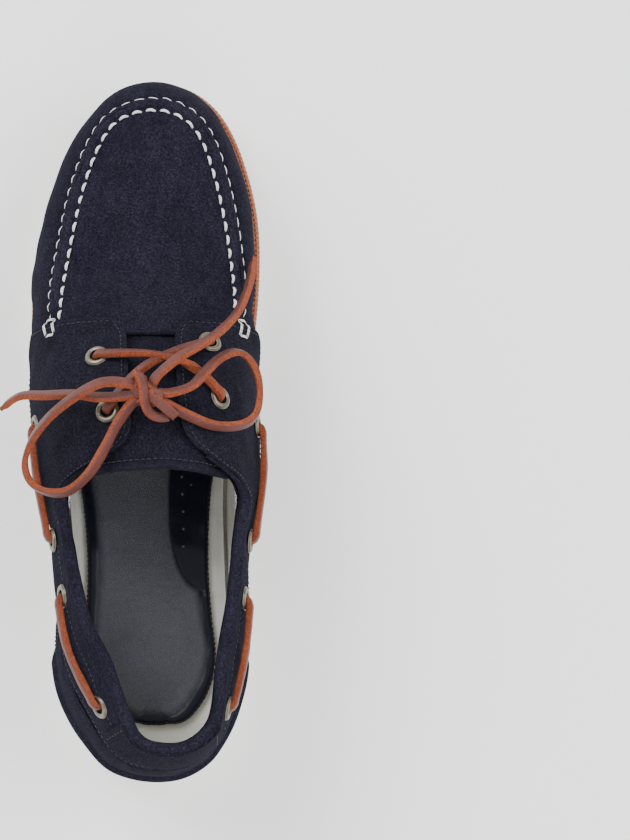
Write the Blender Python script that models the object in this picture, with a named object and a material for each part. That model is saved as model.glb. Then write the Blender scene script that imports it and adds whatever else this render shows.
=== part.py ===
"""Boat shoe for a left foot, standing empty on its sole.

The pieces are those that a maker puts together: outsole, midsole, footbed, a hollow moccasin upper,
the tongue, the collar overlay with its two throat flaps, the heel counter, the heel tab, twelve
eyelets and the leather lace. +Y runs from heel to toe, +X is the inner (medial) side, +Z is up.
The origin is the middle of the heel tread, on the floor. Sizes are in metres.

Every piece of the upper follows one surface, the last. A station on it is an angle round the
outline (0 at the heel, pi at the toe, lateral side first) and an angle up the section (0 at the
feather edge, pi/2 at the ridge). A lift moves a point along the surface's normal.
"""

import math
from collections import namedtuple

import bpy
import numpy as np

SOLE_LENGTH = 0.298
BALL_WIDTH = 0.100
HEEL_SOLE = 0.021
FORE_SOLE = 0.012
TOE_SPRING = 0.009
ARCH_RISE = 0.0045
HEEL_TREAD_LENGTH = 0.071
BREAST_LENGTH = 0.010
TREAD_BORDER = 0.0055
TREAD_STEP = 0.0008
SOLE_EDGE_ROUND = 0.0012
MIDSOLE_THICKNESS = 0.0018
MIDSOLE_LIP = 0.0006
GAP = 0.0003

WELT_SHELF = 0.0025
INSTEP_HEIGHT = 0.100
HEEL_HEIGHT = 0.089
UPPER_WALL = 0.0018
SEAM_RIDGE = 0.0021
OVERLAY_WALL = 0.0016
OVERLAY_GAP = 0.0009
OVERLAY_FACE = OVERLAY_GAP + OVERLAY_WALL
OVERLAY_DEPTH = 0.044
BASE_BELOW_COLLAR = 0.0012
COUNTER_WALL = 0.0012
KICKER_HEIGHT = 0.025
KICKER_PROUD = 0.0022
TAB_WALL = 0.0012
TAB_COLUMNS = 3
TONGUE_WALL = 0.0022
TONGUE_DROP = 0.0010

FOOTBED_THICKNESS = 0.0042
FOOTBED_CUP = 0.0065
FOOTBED_MARGIN = 0.0015

EYELET_HOLE = 0.0026
EYELET_BARREL = 0.0005
EYELET_FLANGE = 0.0049
EYELET_PROUD = 0.0009
EYELET_CLEARANCE = 0.0003

LACE_WIDTH = 0.0036
LACE_THICKNESS = 0.0020
LACE_TUBE = 0.0036
KNOT_LENGTH = 0.0170
KNOT_WIDTH = 0.0150
KNOT_HEIGHT = 0.0080
KNOT_GAP = 0.0009

STATIONS = 58
WALL_ROWS = 7
PLUG_ROWS = 5
END_ROUNDNESS = 2.4

# One row for each section of the last. Widths are shares of BALL_WIDTH, before the round ends are
# taken off, and the belly is how far the upper swells past the feather edge. The spine and the
# share are shares of SOLE_LENGTH from the heel, the ridge is a share of INSTEP_HEIGHT over the
# floor, the shift moves the ridge to the medial side, and fullness is the superellipse's power.
Section = namedtuple(
    "Section",
    "share lateral medial lateral_belly medial_belly spine ridge shift fullness",
)
SECTIONS = (
    Section(0.00, 0.505, 0.560, 0.066, 0.066, 0.108, 1.25, 0.205, 1.57),
    Section(0.05, 0.505, 0.530, 0.082, 0.044, 0.112, 1.25, 0.215, 1.42),
    Section(0.10, 0.482, 0.482, 0.104, 0.074, 0.205, 1.25, 0.165, 1.52),
    Section(0.20, 0.435, 0.420, 0.060, 0.065, 0.262, 1.19, 0.085, 1.90),
    Section(0.30, 0.405, 0.378, 0.058, 0.058, 0.314, 1.13, 0.105, 2.32),
    Section(0.40, 0.415, 0.360, 0.078, 0.110, 0.408, 1.04, 0.050, 2.45),
    Section(0.50, 0.460, 0.385, 0.066, 0.078, 0.500, 0.98, 0.015, 2.60),
    Section(0.60, 0.515, 0.435, 0.030, 0.036, 0.600, 0.79, 0.00, 3.10),
    Section(0.70, 0.545, 0.485, 0.020, 0.018, 0.695, 0.61, -0.02, 3.90),
    Section(0.80, 0.545, 0.530, 0.014, 0.010, 0.785, 0.555, -0.03, 3.80),
    Section(0.90, 0.538, 0.555, 0.010, 0.008, 0.850, 0.53, 0.00, 3.00),
    Section(1.00, 0.500, 0.600, 0.010, 0.010, 0.885, 0.515, 0.01, 2.40),
)

# The collar's height over the floor, as a share of HEEL_HEIGHT.
Collar = namedtuple("Collar", "share height")
COLLAR = (
    Collar(0.00, 0.985),
    Collar(0.05, 1.000),
    Collar(0.20, 0.955),
    Collar(0.29, 0.900),
    Collar(0.345, 0.868),
    Collar(0.40, 0.940),
    Collar(0.46, 1.000),
)

# The throat flap's upper edge and the moccasin seam, as angles up the section, in degrees.
Edge = namedtuple("Edge", "share flap seam_lateral seam_medial")
EDGES = (
    Edge(0.355, 36.0, 35.0, 35.0),
    Edge(0.375, 40.0, 36.0, 36.0),
    Edge(0.391, 48.0, 36.8, 36.8),
    Edge(0.407, 62.0, 37.6, 37.6),
    Edge(0.423, 72.0, 38.6, 38.6),
    Edge(0.443, 77.0, 39.6, 39.6),
    Edge(0.475, 78.3, 41.0, 41.0),
    Edge(0.560, 78.5, 44.2, 43.6),
    Edge(0.620, 78.5, 47.0, 45.0),
    Edge(0.660, 78.5, 49.0, 46.1),
    Edge(0.700, 78.5, 50.8, 47.8),
    Edge(0.750, 78.5, 52.0, 49.5),
    Edge(0.800, 78.5, 52.4, 51.0),
    Edge(0.850, 78.5, 52.1, 52.0),
    Edge(0.900, 78.5, 51.2, 52.9),
    Edge(0.950, 78.5, 51.8, 54.9),
    Edge(1.000, 78.5, 60.0, 60.0),
)
COLLAR_END = 0.355
THROAT_SHARE = 0.592
FLAP_FRONT = 0.6145
SEAM_START = 0.6205
SEAM_FULL = 0.6395
FLAP_RISE = (0.353, 0.367, 0.381, 0.395, 0.409, 0.423, 0.439)
FLAP_INNER_ROUND = 0.010
FLAP_OUTER_ROUND = 0.012
# The overlay's lower edge drops towards the toe, as a share of OVERLAY_DEPTH over the midsole.
OVERLAY_FRONT_DROP = 0.33
COUNTER_FOOT = 0.130
COUNTER_HEAD = 0.215
KICKER_FRONT = 0.180
TONGUE_REAR = 0.391
TONGUE_FRONT = 0.6235
TONGUE_SIDE = 47.0

# Eyelets as share of length and angle up the section, in degrees.
Eyelet = namedtuple("Eyelet", "name side share angle")
THROAT_EYELETS = (
    Eyelet("eyelet_throat_lateral_front", -1, 0.552, 66.0),
    Eyelet("eyelet_throat_lateral_rear", -1, 0.473, 69.0),
    Eyelet("eyelet_throat_medial_front", 1, 0.575, 62.0),
    Eyelet("eyelet_throat_medial_rear", 1, 0.495, 58.0),
)
# Side eyelets as share of length and height over the floor as a share of HEEL_HEIGHT.
SideEyelet = namedtuple("SideEyelet", "name share height")
SIDE_EYELETS = (
    SideEyelet("a", 0.475, 0.674),
    SideEyelet("b", 0.315, 0.747),
    SideEyelet("c", 0.232, 0.815),
    SideEyelet("d", 0.070, 0.880),
)

# The bow's routes: X and height in metres, Y as a share of SOLE_LENGTH from the heel.
LATERAL_LOOP = (
    (-0.0130, 0.510, 0.1138),
    (-0.0198, 0.505, 0.1141),
    (-0.0303, 0.489, 0.1099),
    (-0.0405, 0.468, 0.0992),
    (-0.0481, 0.443, 0.0859),
    (-0.0513, 0.415, 0.0796),
    (-0.0488, 0.388, 0.0798),
    (-0.0414, 0.372, 0.0856),
    (-0.0329, 0.372, 0.0916),
    (-0.0246, 0.393, 0.0991),
    (-0.0186, 0.423, 0.1050),
    (-0.0143, 0.451, 0.1066),
    (-0.0110, 0.471, 0.1086),
)
MEDIAL_LOOP = (
    (0.0090, 0.473, 0.1078),
    (0.0152, 0.465, 0.1048),
    (0.0245, 0.455, 0.1009),
    (0.0345, 0.457, 0.0965),
    (0.0408, 0.471, 0.0929),
    (0.0431, 0.496, 0.0913),
    (0.0426, 0.526, 0.0895),
    (0.0391, 0.550, 0.0911),
    (0.0338, 0.558, 0.0950),
    (0.0270, 0.546, 0.1006),
    (0.0209, 0.524, 0.1056),
    (0.0157, 0.504, 0.1088),
    (0.0118, 0.494, 0.1096),
)
TOE_END = (
    (0.0040, 0.525, 0.1123),
    (0.0110, 0.542, 0.1108),
    (0.0197, 0.561, 0.1072),
    (0.0271, 0.583, 0.1007),
    (0.0336, 0.612, 0.0901),
    (0.0380, 0.647, 0.0773),
    (0.0408, 0.683, 0.0648),
    (0.0424, 0.718, 0.0542),
)
SIDE_END = (
    (-0.0150, 0.488, 0.1078),
    (-0.0215, 0.490, 0.1066),
    (-0.0310, 0.496, 0.1031),
    (-0.0430, 0.498, 0.0964),
    (-0.0530, 0.500, 0.0907),
    (-0.0610, 0.486, 0.0841),
)
KNOT_CENTRE = (-0.0020, 0.494, 0.1106)

HEEL_Y = -HEEL_TREAD_LENGTH / 2


def clear_scene():
    """Removes what the file opened with."""
    for obj in list(bpy.data.objects):
        bpy.data.objects.remove(obj, do_unlink=True)


def through(rows, column, at):
    """A smooth curve through a table's column, by cubic Hermite pieces with averaged slopes."""
    x = np.array([row.share for row in rows])
    y = np.array([getattr(row, column) for row in rows])
    slope = np.gradient(y, x)
    at = np.clip(np.asarray(at, float), x[0], x[-1])
    k = np.clip(np.searchsorted(x, at) - 1, 0, len(x) - 2)
    step = x[k + 1] - x[k]
    u = (at - x[k]) / step
    rising = u * u * (3 - 2 * u)
    bend = step * (slope[k] * u * (1 - u) ** 2 - slope[k + 1] * u * u * (1 - u))
    return y[k] * (1 - rising) + y[k + 1] * rising + bend


def ease(value):
    """0 below 0, 1 above 1, and smooth between."""
    value = np.clip(value, 0.0, 1.0)
    return value * value * (3 - 2 * value)


def share_of(round_angle):
    return (1 - np.cos(round_angle)) / 2


def round_angle_of(share, side):
    """The angle round the outline of a share of the length, on side -1 (lateral) or 1 (medial)."""
    angle = np.arccos(1 - 2 * np.asarray(share, float))
    return np.where(np.asarray(side) < 0, angle, 2 * math.pi - angle)


def is_medial(round_angle):
    return np.sin(round_angle) < 0


def toe_rise(share):
    """How far the sole has left the floor at a share of its length."""
    return TOE_SPRING * np.clip((np.asarray(share) - 0.68) / 0.32, 0, 1) ** 2


def sole_top(share):
    """The sole's upper face: level under the heel, dropping to the ball, and up with the toe."""
    drop = ease((np.asarray(share) - 0.20) / 0.42)
    return HEEL_SOLE + (FORE_SOLE - HEEL_SOLE) * drop + toe_rise(share)


def sole_bottom(share):
    """The sole's underside: flat heel tread, slanted breast, arch, flat forefoot and toe spring."""
    share = np.asarray(share, float)
    breast_start = (HEEL_TREAD_LENGTH - HEEL_Y + HEEL_Y) / SOLE_LENGTH
    breast_end = breast_start + BREAST_LENGTH / SOLE_LENGTH
    up = np.clip((share - breast_start) / (breast_end - breast_start), 0, 1)
    down = ease((share - breast_end) / (0.47 - breast_end))
    return ARCH_RISE * up * (1 - down) + toe_rise(share)


def spine_point(round_angle):
    share = share_of(round_angle)
    x = BALL_WIDTH * through(SECTIONS, "shift", share)
    y = HEEL_Y + SOLE_LENGTH * through(SECTIONS, "spine", share)
    return x, y


def outline(round_angle, inset=0.0):
    """The sole's outline, moved in towards the spine by the inset: x, y arrays."""
    share = share_of(round_angle)
    medial = is_medial(round_angle)
    width = np.where(
        medial, through(SECTIONS, "medial", share), through(SECTIONS, "lateral", share)
    )
    taper = np.maximum(1 - np.abs(2 * share - 1) ** END_ROUNDNESS, 0) ** (1 / END_ROUNDNESS)
    x = np.where(medial, 1, -1) * BALL_WIDTH * width * taper
    y = HEEL_Y + SOLE_LENGTH * share
    middle_y = HEEL_Y + SOLE_LENGTH * through(SECTIONS, "spine", share)
    reach = np.hypot(x, y - middle_y)
    keep = 1 - inset / np.maximum(reach, 1e-9)
    return x * keep, middle_y + (y - middle_y) * keep


def feather_height(round_angle):
    """Where the upper starts: on the midsole."""
    return sole_top(share_of(round_angle)) + MIDSOLE_THICKNESS + 2 * GAP


def bare_last(round_angle, up_angle):
    """The last's surface. In the plane from the feather edge to the spine, a section is a quarter
    of a superellipse, and the upper swells past its feather edge over the first third."""
    share = share_of(round_angle)
    power = through(SECTIONS, "fullness", share)
    cos, sin = np.cos(up_angle), np.sin(up_angle)
    size = (np.abs(cos) ** power + np.abs(sin) ** power) ** (1 / power)
    out, rise = cos / size, sin / size
    foot_x, foot_y = outline(round_angle, WELT_SHELF)
    top_x, top_y = spine_point(round_angle)
    belly = BALL_WIDTH * np.where(
        is_medial(round_angle),
        through(SECTIONS, "medial_belly", share),
        through(SECTIONS, "lateral_belly", share),
    )
    reach = np.maximum(np.hypot(foot_x - top_x, foot_y - top_y), 1e-9)
    swell = 1 + belly * ease(rise / 0.38) / reach
    ridge_share = (top_y - HEEL_Y) / SOLE_LENGTH
    ridge = INSTEP_HEIGHT * through(SECTIONS, "ridge", ridge_share)
    foot_z = feather_height(round_angle)
    x = top_x + (foot_x - top_x) * out * swell
    y = top_y + (foot_y - top_y) * out * swell
    z = foot_z + (ridge - foot_z) * rise
    return np.stack(np.broadcast_arrays(x, y, z), axis=-1)


def last_normal(round_angle, up_angle):
    """The outward normal, from central differences."""
    small = 1e-3
    up = np.clip(up_angle, small, math.pi / 2 - small)
    along = bare_last(round_angle + small, up) - bare_last(round_angle - small, up)
    over = bare_last(round_angle, up + small) - bare_last(round_angle, up - small)
    normal = np.cross(over, along)
    return normal / np.linalg.norm(normal, axis=-1, keepdims=True)


def last(round_angle, up_angle, lift=0.0):
    round_angle, up_angle, lift = np.broadcast_arrays(round_angle, up_angle, lift)
    surface = bare_last(round_angle, up_angle)
    return surface + last_normal(round_angle, up_angle) * lift[..., None]


def angle_at_height(round_angle, height):
    """The angle up the section at which the last reaches a height over the floor."""
    share = share_of(round_angle)
    power = through(SECTIONS, "fullness", share)
    top_y = spine_point(round_angle)[1]
    ridge = INSTEP_HEIGHT * through(SECTIONS, "ridge", (top_y - HEEL_Y) / SOLE_LENGTH)
    foot_z = feather_height(round_angle)
    rise = np.clip((height - foot_z) / (ridge - foot_z), 0, 0.999)
    return np.arctan2(rise, (1 - rise**power) ** (1 / power))


def collar_angle(round_angle, below=0.0):
    height = HEEL_HEIGHT * through(COLLAR, "height", share_of(round_angle)) - below
    return angle_at_height(round_angle, height)


def top_angle(round_angle):
    """The overlay's upper edge: the collar behind, the throat flap's edge in front."""
    share = share_of(round_angle)
    flap = np.radians(through(EDGES, "flap", share))
    blend = ease((share - COLLAR_END + 0.02) / 0.04)
    return collar_angle(round_angle) * (1 - blend) + flap * blend


def seam_angle(round_angle):
    share = share_of(round_angle)
    lateral, medial = through(EDGES, "seam_lateral", share), through(EDGES, "seam_medial", share)
    return np.radians(np.where(is_medial(round_angle), medial, lateral))


def base_angle(round_angle):
    """The moccasin wall's upper edge: under the collar behind, the seam's line in front."""
    share = share_of(round_angle)
    blend = ease((share - COLLAR_END + 0.02) / 0.04)
    return (
        collar_angle(round_angle, BASE_BELOW_COLLAR) * (1 - blend)
        + seam_angle(round_angle) * blend
    )


def material(name, colour, roughness, metallic=0.0):
    made = bpy.data.materials.new(name)
    made.use_nodes = True
    shader = made.node_tree.nodes["Principled BSDF"]
    shader.inputs["Base Color"].default_value = (*colour, 1)
    shader.inputs["Roughness"].default_value = roughness
    shader.inputs["Metallic"].default_value = metallic
    return made


def add_object(name, points, faces, finish, smooth=True):
    """A mesh object from points and faces."""
    mesh = bpy.data.meshes.new(name)
    mesh.from_pydata([tuple(map(float, p)) for p in points], [], [tuple(f) for f in faces])
    mesh.validate()
    mesh.materials.append(finish)
    if smooth:
        mesh.shade_smooth()
        mesh.set_sharp_from_angle(angle=math.radians(40))
    obj = bpy.data.objects.new(name, mesh)
    bpy.context.scene.collection.objects.link(obj)
    return obj


def grid_faces(rows, columns, wrap=False):
    """Quads of a grid whose points run column by column within each row; rows may close round."""
    faces = []
    for i in range(rows if wrap else rows - 1):
        following = (i + 1) % rows
        for j in range(columns - 1):
            a, b = i * columns + j, following * columns + j
            faces.append((a, b, b + 1, a + 1))
    return faces


def shell(name, outer, inner, faces, finish):
    """A closed sheet between two like-numbered sets of points, with a rim round every open edge."""
    count = len(outer)
    seen = {}
    for face in faces:
        for k, a in enumerate(face):
            b = face[(k + 1) % len(face)]
            seen[(a, b)] = seen.get((a, b), 0) + 1
    rims = [
        (b, a, a + count, b + count) for (a, b) in seen if (b, a) not in seen
    ]
    back = [tuple(i + count for i in reversed(face)) for face in faces]
    return add_object(
        name, np.concatenate([outer, inner]), list(faces) + back + rims, finish
    )


def patch(name, around, up, low_lift, high_lift, finish):
    """A sheet over the last on a grid of stations, between two lifts."""
    rows, columns = up.shape
    around = np.broadcast_to(around[:, None], up.shape)
    outer = last(around, up, high_lift).reshape(-1, 3)
    inner = last(around, up, low_lift).reshape(-1, 3)
    return shell(name, outer, inner, grid_faces(rows, columns), finish)


def ring(inset, height, stations):
    """The outline at an inset, at a height that is a number or a function of the share."""
    x, y = outline(stations, inset)
    share = (y - HEEL_Y) / SOLE_LENGTH
    z = height(share) if callable(height) else np.full_like(x, height)
    return np.stack([x, y, z], axis=-1)


def plate(name, rings, finish):
    """A closed slab from rings that run from the underside's middle, over the edge, to the top."""
    count = len(rings[0])
    points = np.concatenate(rings)
    faces = []
    for level in range(len(rings) - 1):
        low, high = level * count, (level + 1) * count
        for i in range(count):
            j = (i + 1) % count
            faces.append((low + j, low + i, high + i, high + j))
    half = count // 2
    last_level = (len(rings) - 1) * count
    for i in range(half):
        a, b = i, i + 1
        mirror_a, mirror_b = (count - a) % count, (count - b) % count
        quad = [a, b, mirror_b, mirror_a]
        quad = [v for k, v in enumerate(quad) if v not in quad[:k]]
        faces.append(tuple(quad))
        faces.append(tuple(v + last_level for v in reversed(quad)))
    return add_object(name, points, faces, finish)


def make_outsole(finish):
    """One rubber unit: tread fields a step below a plain border, an arch, and an upright wall."""
    stations = np.arange(STATIONS) * 2 * math.pi / STATIONS
    rim = SOLE_EDGE_ROUND
    rings = [
        ring(TREAD_BORDER + TREAD_STEP, sole_bottom, stations),
        ring(TREAD_BORDER, lambda s: sole_bottom(s) + TREAD_STEP, stations),
        ring(rim, lambda s: sole_bottom(s) + TREAD_STEP, stations),
        ring(0.0, lambda s: sole_bottom(s) + TREAD_STEP + rim, stations),
        ring(0.0, lambda s: sole_top(s) - rim / 2, stations),
        ring(rim / 2, sole_top, stations),
    ]
    return plate("outsole", rings, finish)


def make_midsole(finish):
    """The thin leather layer whose edge shows as the welt."""
    stations = np.arange(STATIONS) * 2 * math.pi / STATIONS
    rings = [
        ring(MIDSOLE_LIP, lambda s: sole_top(s) + GAP, stations),
        ring(MIDSOLE_LIP, lambda s: sole_top(s) + GAP + MIDSOLE_THICKNESS, stations),
    ]
    return plate("midsole", rings, finish)


def make_footbed(finish):
    """The insole: flat below, dished above, with its rim raised at the heel and the arch."""
    stations = np.arange(STATIONS) * 2 * math.pi / STATIONS
    edge = WELT_SHELF + UPPER_WALL + FOOTBED_MARGIN

    def floor(share):
        return sole_top(share) + MIDSOLE_THICKNESS + 2 * GAP

    def cup(share):
        return FOOTBED_CUP * (1 - ease((share - 0.38) / 0.22))

    rings = [
        ring(edge, floor, stations),
        ring(edge, lambda s: floor(s) + FOOTBED_THICKNESS * 0.7 + cup(s), stations),
        ring(edge + 0.0018, lambda s: floor(s) + FOOTBED_THICKNESS + cup(s), stations),
        ring(edge + 0.0060, lambda s: floor(s) + FOOTBED_THICKNESS + cup(s) * 0.45, stations),
        ring(edge + 0.0110, lambda s: floor(s) + FOOTBED_THICKNESS + cup(s) * 0.08, stations),
    ]
    return plate("footbed", rings, finish)


def seam_lift(offset):
    """The raised moccasin seam's profile, by its distance in radians from the seam's line."""
    return SEAM_RIDGE * np.clip(1 - (np.abs(offset) / math.radians(4.0)) ** 3, 0, 1)


def upper_stations():
    """Even stations round the outline, with more where the flaps rise and the seam starts."""
    half = np.arange(STATIONS // 2 + 1) * 2 * math.pi / STATIONS
    extra = FLAP_RISE + (FLAP_FRONT, SEAM_START, SEAM_FULL)
    extra = round_angle_of(np.array(extra), -1)
    apart = np.abs(half[:, None] - extra[None, :]).min(axis=1)
    half = np.sort(np.concatenate([half[apart > 0.02], extra]))
    return np.concatenate([half, 2 * math.pi - half[-2:0:-1]])


def make_upper(finish):
    """The hollow moccasin body: the wall round the foot, the raised seam and the plug on top."""
    stations = upper_stations()
    wall_shares = np.concatenate(
        [np.linspace(0, 0.88, WALL_ROWS - 2), [0.925, 1.0]]
    )
    base = base_angle(stations)
    wall_up = base[:, None] * wall_shares[None, :]
    share = share_of(stations)
    in_front = share >= THROAT_SHARE
    ridge_end = math.pi / 2
    plug_shares = np.concatenate([[0.0, 0.075, 0.16], np.linspace(0.35, 1, PLUG_ROWS - 1)])
    seam = seam_angle(stations)
    plug_up = seam[:, None] + (ridge_end - seam)[:, None] * plug_shares[None, :]
    wall_lift = seam_lift(wall_up - seam[:, None]) * in_front[:, None]
    wall_lift *= ease((share - SEAM_START) / (SEAM_FULL - SEAM_START))[:, None]
    plug_lift = seam_lift(plug_up - seam[:, None])
    plug_lift *= ease((share - SEAM_START) / (SEAM_FULL - SEAM_START))[:, None]
    around_wall = np.broadcast_to(stations[:, None], wall_up.shape)
    around_plug = np.broadcast_to(stations[:, None], plug_up.shape)
    count, wall_rows, plug_rows = len(stations), wall_up.shape[1], plug_up.shape[1]

    def numbered(sunk):
        low = -UPPER_WALL * sunk
        wall = last(around_wall, wall_up, low + wall_lift * (1 - sunk))
        plug = last(around_plug, plug_up, low + plug_lift * (1 - sunk))
        return wall, plug

    outer_wall, outer_plug = numbered(0)
    inner_wall, inner_plug = numbered(1)
    index = -np.ones((count, wall_rows + plug_rows - 1), int)
    outer, inner = [], []
    for i in range(count):
        for j in range(wall_rows + plug_rows - 1):
            if j >= wall_rows and not in_front[i]:
                continue
            mirror = (count - i) % count
            if j == wall_rows + plug_rows - 2 and mirror < i:
                index[i, j] = index[mirror, j]
                continue
            index[i, j] = len(outer)
            if j < wall_rows:
                outer.append(outer_wall[i, j])
                inner.append(inner_wall[i, j])
            else:
                outer.append(outer_plug[i, j - wall_rows + 1])
                inner.append(inner_plug[i, j - wall_rows + 1])
    faces = []
    for i in range(count):
        k = (i + 1) % count
        for j in range(wall_rows + plug_rows - 2):
            quad = [index[i, j], index[k, j], index[k, j + 1], index[i, j + 1]]
            if min(quad) < 0:
                continue
            quad = [v for n, v in enumerate(quad) if v not in quad[:n]]
            if len(quad) > 2:
                faces.append(tuple(int(v) for v in reversed(quad)))
    return shell("upper", np.array(outer), np.array(inner), faces, finish)


def corner_share(distance, radius):
    """How much of a rounded corner of a radius is cut off at a distance from its end."""
    inside = np.clip(distance, 0, radius)
    return radius - np.sqrt(np.maximum(radius**2 - (radius - inside) ** 2, 0))


def overlay_low_angle(around):
    """The overlay's lower edge, with its rounded corner at the front."""
    share = share_of(around)
    drop = OVERLAY_DEPTH * (1 - OVERLAY_FRONT_DROP * np.clip(share / FLAP_FRONT, 0, 1))
    from_front = (FLAP_FRONT - share) * SOLE_LENGTH
    height = feather_height(around) + drop + corner_share(from_front, FLAP_OUTER_ROUND)
    return angle_at_height(around, height)


def overlay_high_angle(around):
    share = share_of(around)
    from_front = (FLAP_FRONT - share) * SOLE_LENGTH
    reach = BALL_WIDTH / 2
    return top_angle(around) - corner_share(from_front, FLAP_INNER_ROUND) / reach


def overlay_grid():
    """The overlay's stations and angles: columns round the shoe, rows up the section."""
    end = float(round_angle_of(FLAP_FRONT, -1))
    stations = upper_stations()
    behind = stations[(stations < end - 0.045) & (stations > 0)]
    front = end - np.array([0.0, 0.010, 0.026])
    half = np.concatenate([front, behind[::-1]])
    around = np.concatenate([half, [0.0], -half[::-1]])
    low, high = overlay_low_angle(around), overlay_high_angle(around)
    steps = np.linspace(0, 1, 10)
    return around, low[:, None] + (high - low)[:, None] * steps[None, :]


def make_overlay(finish):
    """Collar and throat flaps in one piece round the shoe, over the moccasin wall."""
    around, up = overlay_grid()
    return patch("collar_overlay", around, up, OVERLAY_GAP, OVERLAY_FACE, finish)


def make_counter(finish):
    """Heel counter under the overlay, with the raised kicker ledge across its back."""
    step = 2 * math.pi / STATIONS
    reach = int(float(round_angle_of(COUNTER_HEAD, -1)) / step)
    around = np.arange(reach, -reach - 1, -1) * step
    share = share_of(around)
    low = np.zeros_like(around)
    top = overlay_low_angle(around) - GAP * 2 / 0.040
    slant = np.clip((COUNTER_HEAD - share) / (COUNTER_HEAD - COUNTER_FOOT), 0, 1)
    low = top * (1 - slant) * 0.97
    kicker = angle_at_height(around, feather_height(around) + KICKER_HEIGHT)
    shares = np.linspace(0, 1, 4)
    ledge = np.clip(kicker, low + (top - low) * 0.15, low + (top - low) * 0.85)
    below = low[:, None] + (ledge - low)[:, None] * shares[None, :]
    step = (top - low)[:, None] * np.array([0.02, 0.10])
    above = ledge[:, None] + step
    rest = (ledge + (top - low) * 0.10)[:, None]
    above_rest = rest + (top[:, None] - rest) * np.array([0.5, 1.0])
    up = np.concatenate([below, above, above_rest], axis=1)
    proud = np.array([0.1, 0.25, 0.5, 1.0, 1.0, 0.0, 0.0, 0.0])
    reach = ease((KICKER_FRONT - share) / 0.03)
    lift = OVERLAY_GAP + COUNTER_WALL + KICKER_PROUD * proud[None, :] * reach[:, None]
    return patch("heel_counter", around, up, OVERLAY_GAP, lift, finish)


def make_heel_tab(finish):
    """The small tab that wraps the collar's back, cut on the overlay's own grid."""
    around, up = overlay_grid()
    middle = len(around) // 2
    columns = slice(middle - TAB_COLUMNS, middle + TAB_COLUMNS + 1)
    base = OVERLAY_FACE + GAP
    return patch("heel_tab", around[columns], up[columns, 2:], base, base + TAB_WALL, finish)


def make_tongue(finish):
    """The tongue: tucked inside the plug and the walls, up against the flaps in the middle."""
    shares = np.linspace(TONGUE_FRONT, TONGUE_REAR, 10)
    side = math.radians(TONGUE_SIDE)
    across = np.linspace(-1, 1, 13)
    lateral = across < 0
    around = np.array(
        [[float(round_angle_of(s, -1 if left else 1)) for left in lateral] for s in shares]
    )
    up = math.pi / 2 - np.abs(across) * (math.pi / 2 - side)
    up = np.broadcast_to(up, around.shape)
    tucked = UPPER_WALL + 2 * GAP
    middle = ease((0.80 - np.abs(across)) / 0.35)[None, :]
    back = ease((0.605 - shares) / 0.03)[:, None]
    high = -tucked + (tucked - TONGUE_DROP) * middle * back
    outer = last(around, up, high).reshape(-1, 3)
    inner = last(around, up, high - TONGUE_WALL).reshape(-1, 3)
    faces = grid_faces(len(shares), len(across))
    return shell("tongue", outer, inner, faces, finish)


def local_frame(around, up):
    """The overlay's outer face at a station: point, normal, and two directions in the face."""
    point = last(around, up, OVERLAY_FACE)
    normal = last_normal(around, up)
    forward = bare_last(around, up + 1e-3) - bare_last(around, up - 1e-3)
    forward = forward - normal * np.dot(forward, normal)
    forward = forward / np.linalg.norm(forward)
    return point, normal, forward, np.cross(normal, forward)


def lathe(name, profile, centre, axes, finish, segments=10):
    """A turned ring: radius and height rows, about the third of its axes."""
    turns = np.arange(segments) * 2 * math.pi / segments
    first, second, third = axes
    points = []
    for radius, height in profile:
        for turn in turns:
            spoke = first * math.cos(turn) + second * math.sin(turn)
            points.append(centre + spoke * radius + third * height)
    rows = len(profile)
    faces = []
    for i in range(rows):
        k = (i + 1) % rows
        for j in range(segments):
            n = (j + 1) % segments
            faces.append((i * segments + j, i * segments + n, k * segments + n, k * segments + j))
    return add_object(name, points, faces, finish)


def make_eyelet(name, around, up, depth, finish):
    """A rolled metal eyelet: barrel through the leather, flange on its face."""
    point, normal, forward, sideways = local_frame(around, up)
    outer_barrel = EYELET_HOLE + EYELET_BARREL
    profile = (
        (EYELET_HOLE, -depth),
        (outer_barrel, -depth),
        (outer_barrel, GAP),
        (EYELET_FLANGE, GAP),
        (EYELET_FLANGE - 0.0006, GAP + EYELET_PROUD),
        (EYELET_HOLE + 0.0009, GAP + EYELET_PROUD),
        (EYELET_HOLE, GAP + EYELET_PROUD * 0.55),
    )
    return lathe(name, profile, point, (forward, sideways, normal), finish)


def punch(target, around, up, label):
    """Cuts an eyelet's hole through a piece."""
    point, normal, forward, sideways = local_frame(around, up)
    radius = EYELET_HOLE + EYELET_BARREL + EYELET_CLEARANCE
    length = UPPER_WALL + OVERLAY_FACE
    turns = np.arange(12) * math.pi / 6
    points = [
        point + (forward * math.cos(t) + sideways * math.sin(t)) * radius + normal * h
        for h in (-2 * length, 2 * length)
        for t in turns
    ]
    faces = [tuple(reversed(range(12))), tuple(range(12, 24))]
    faces += [(k, (k + 1) % 12, (k + 1) % 12 + 12, k + 12) for k in range(12)]
    cutter = add_object(label, points, faces, target.data.materials[0], smooth=False)
    cutter.hide_render = True
    cutter.display_type = "WIRE"
    cut = target.modifiers.new(label, "BOOLEAN")
    cut.operation = "DIFFERENCE"
    cut.object = cutter


def side_eyelet_stations():
    """Name, angle round and angle up of the eight side eyelets."""
    found = []
    for side, word in ((-1, "lateral"), (1, "medial")):
        for eyelet in SIDE_EYELETS:
            around = float(round_angle_of(eyelet.share, side))
            up = float(angle_at_height(np.array(around), HEEL_HEIGHT * eyelet.height))
            found.append((f"eyelet_{word}_{eyelet.name}", around, up))
    return found


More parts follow.
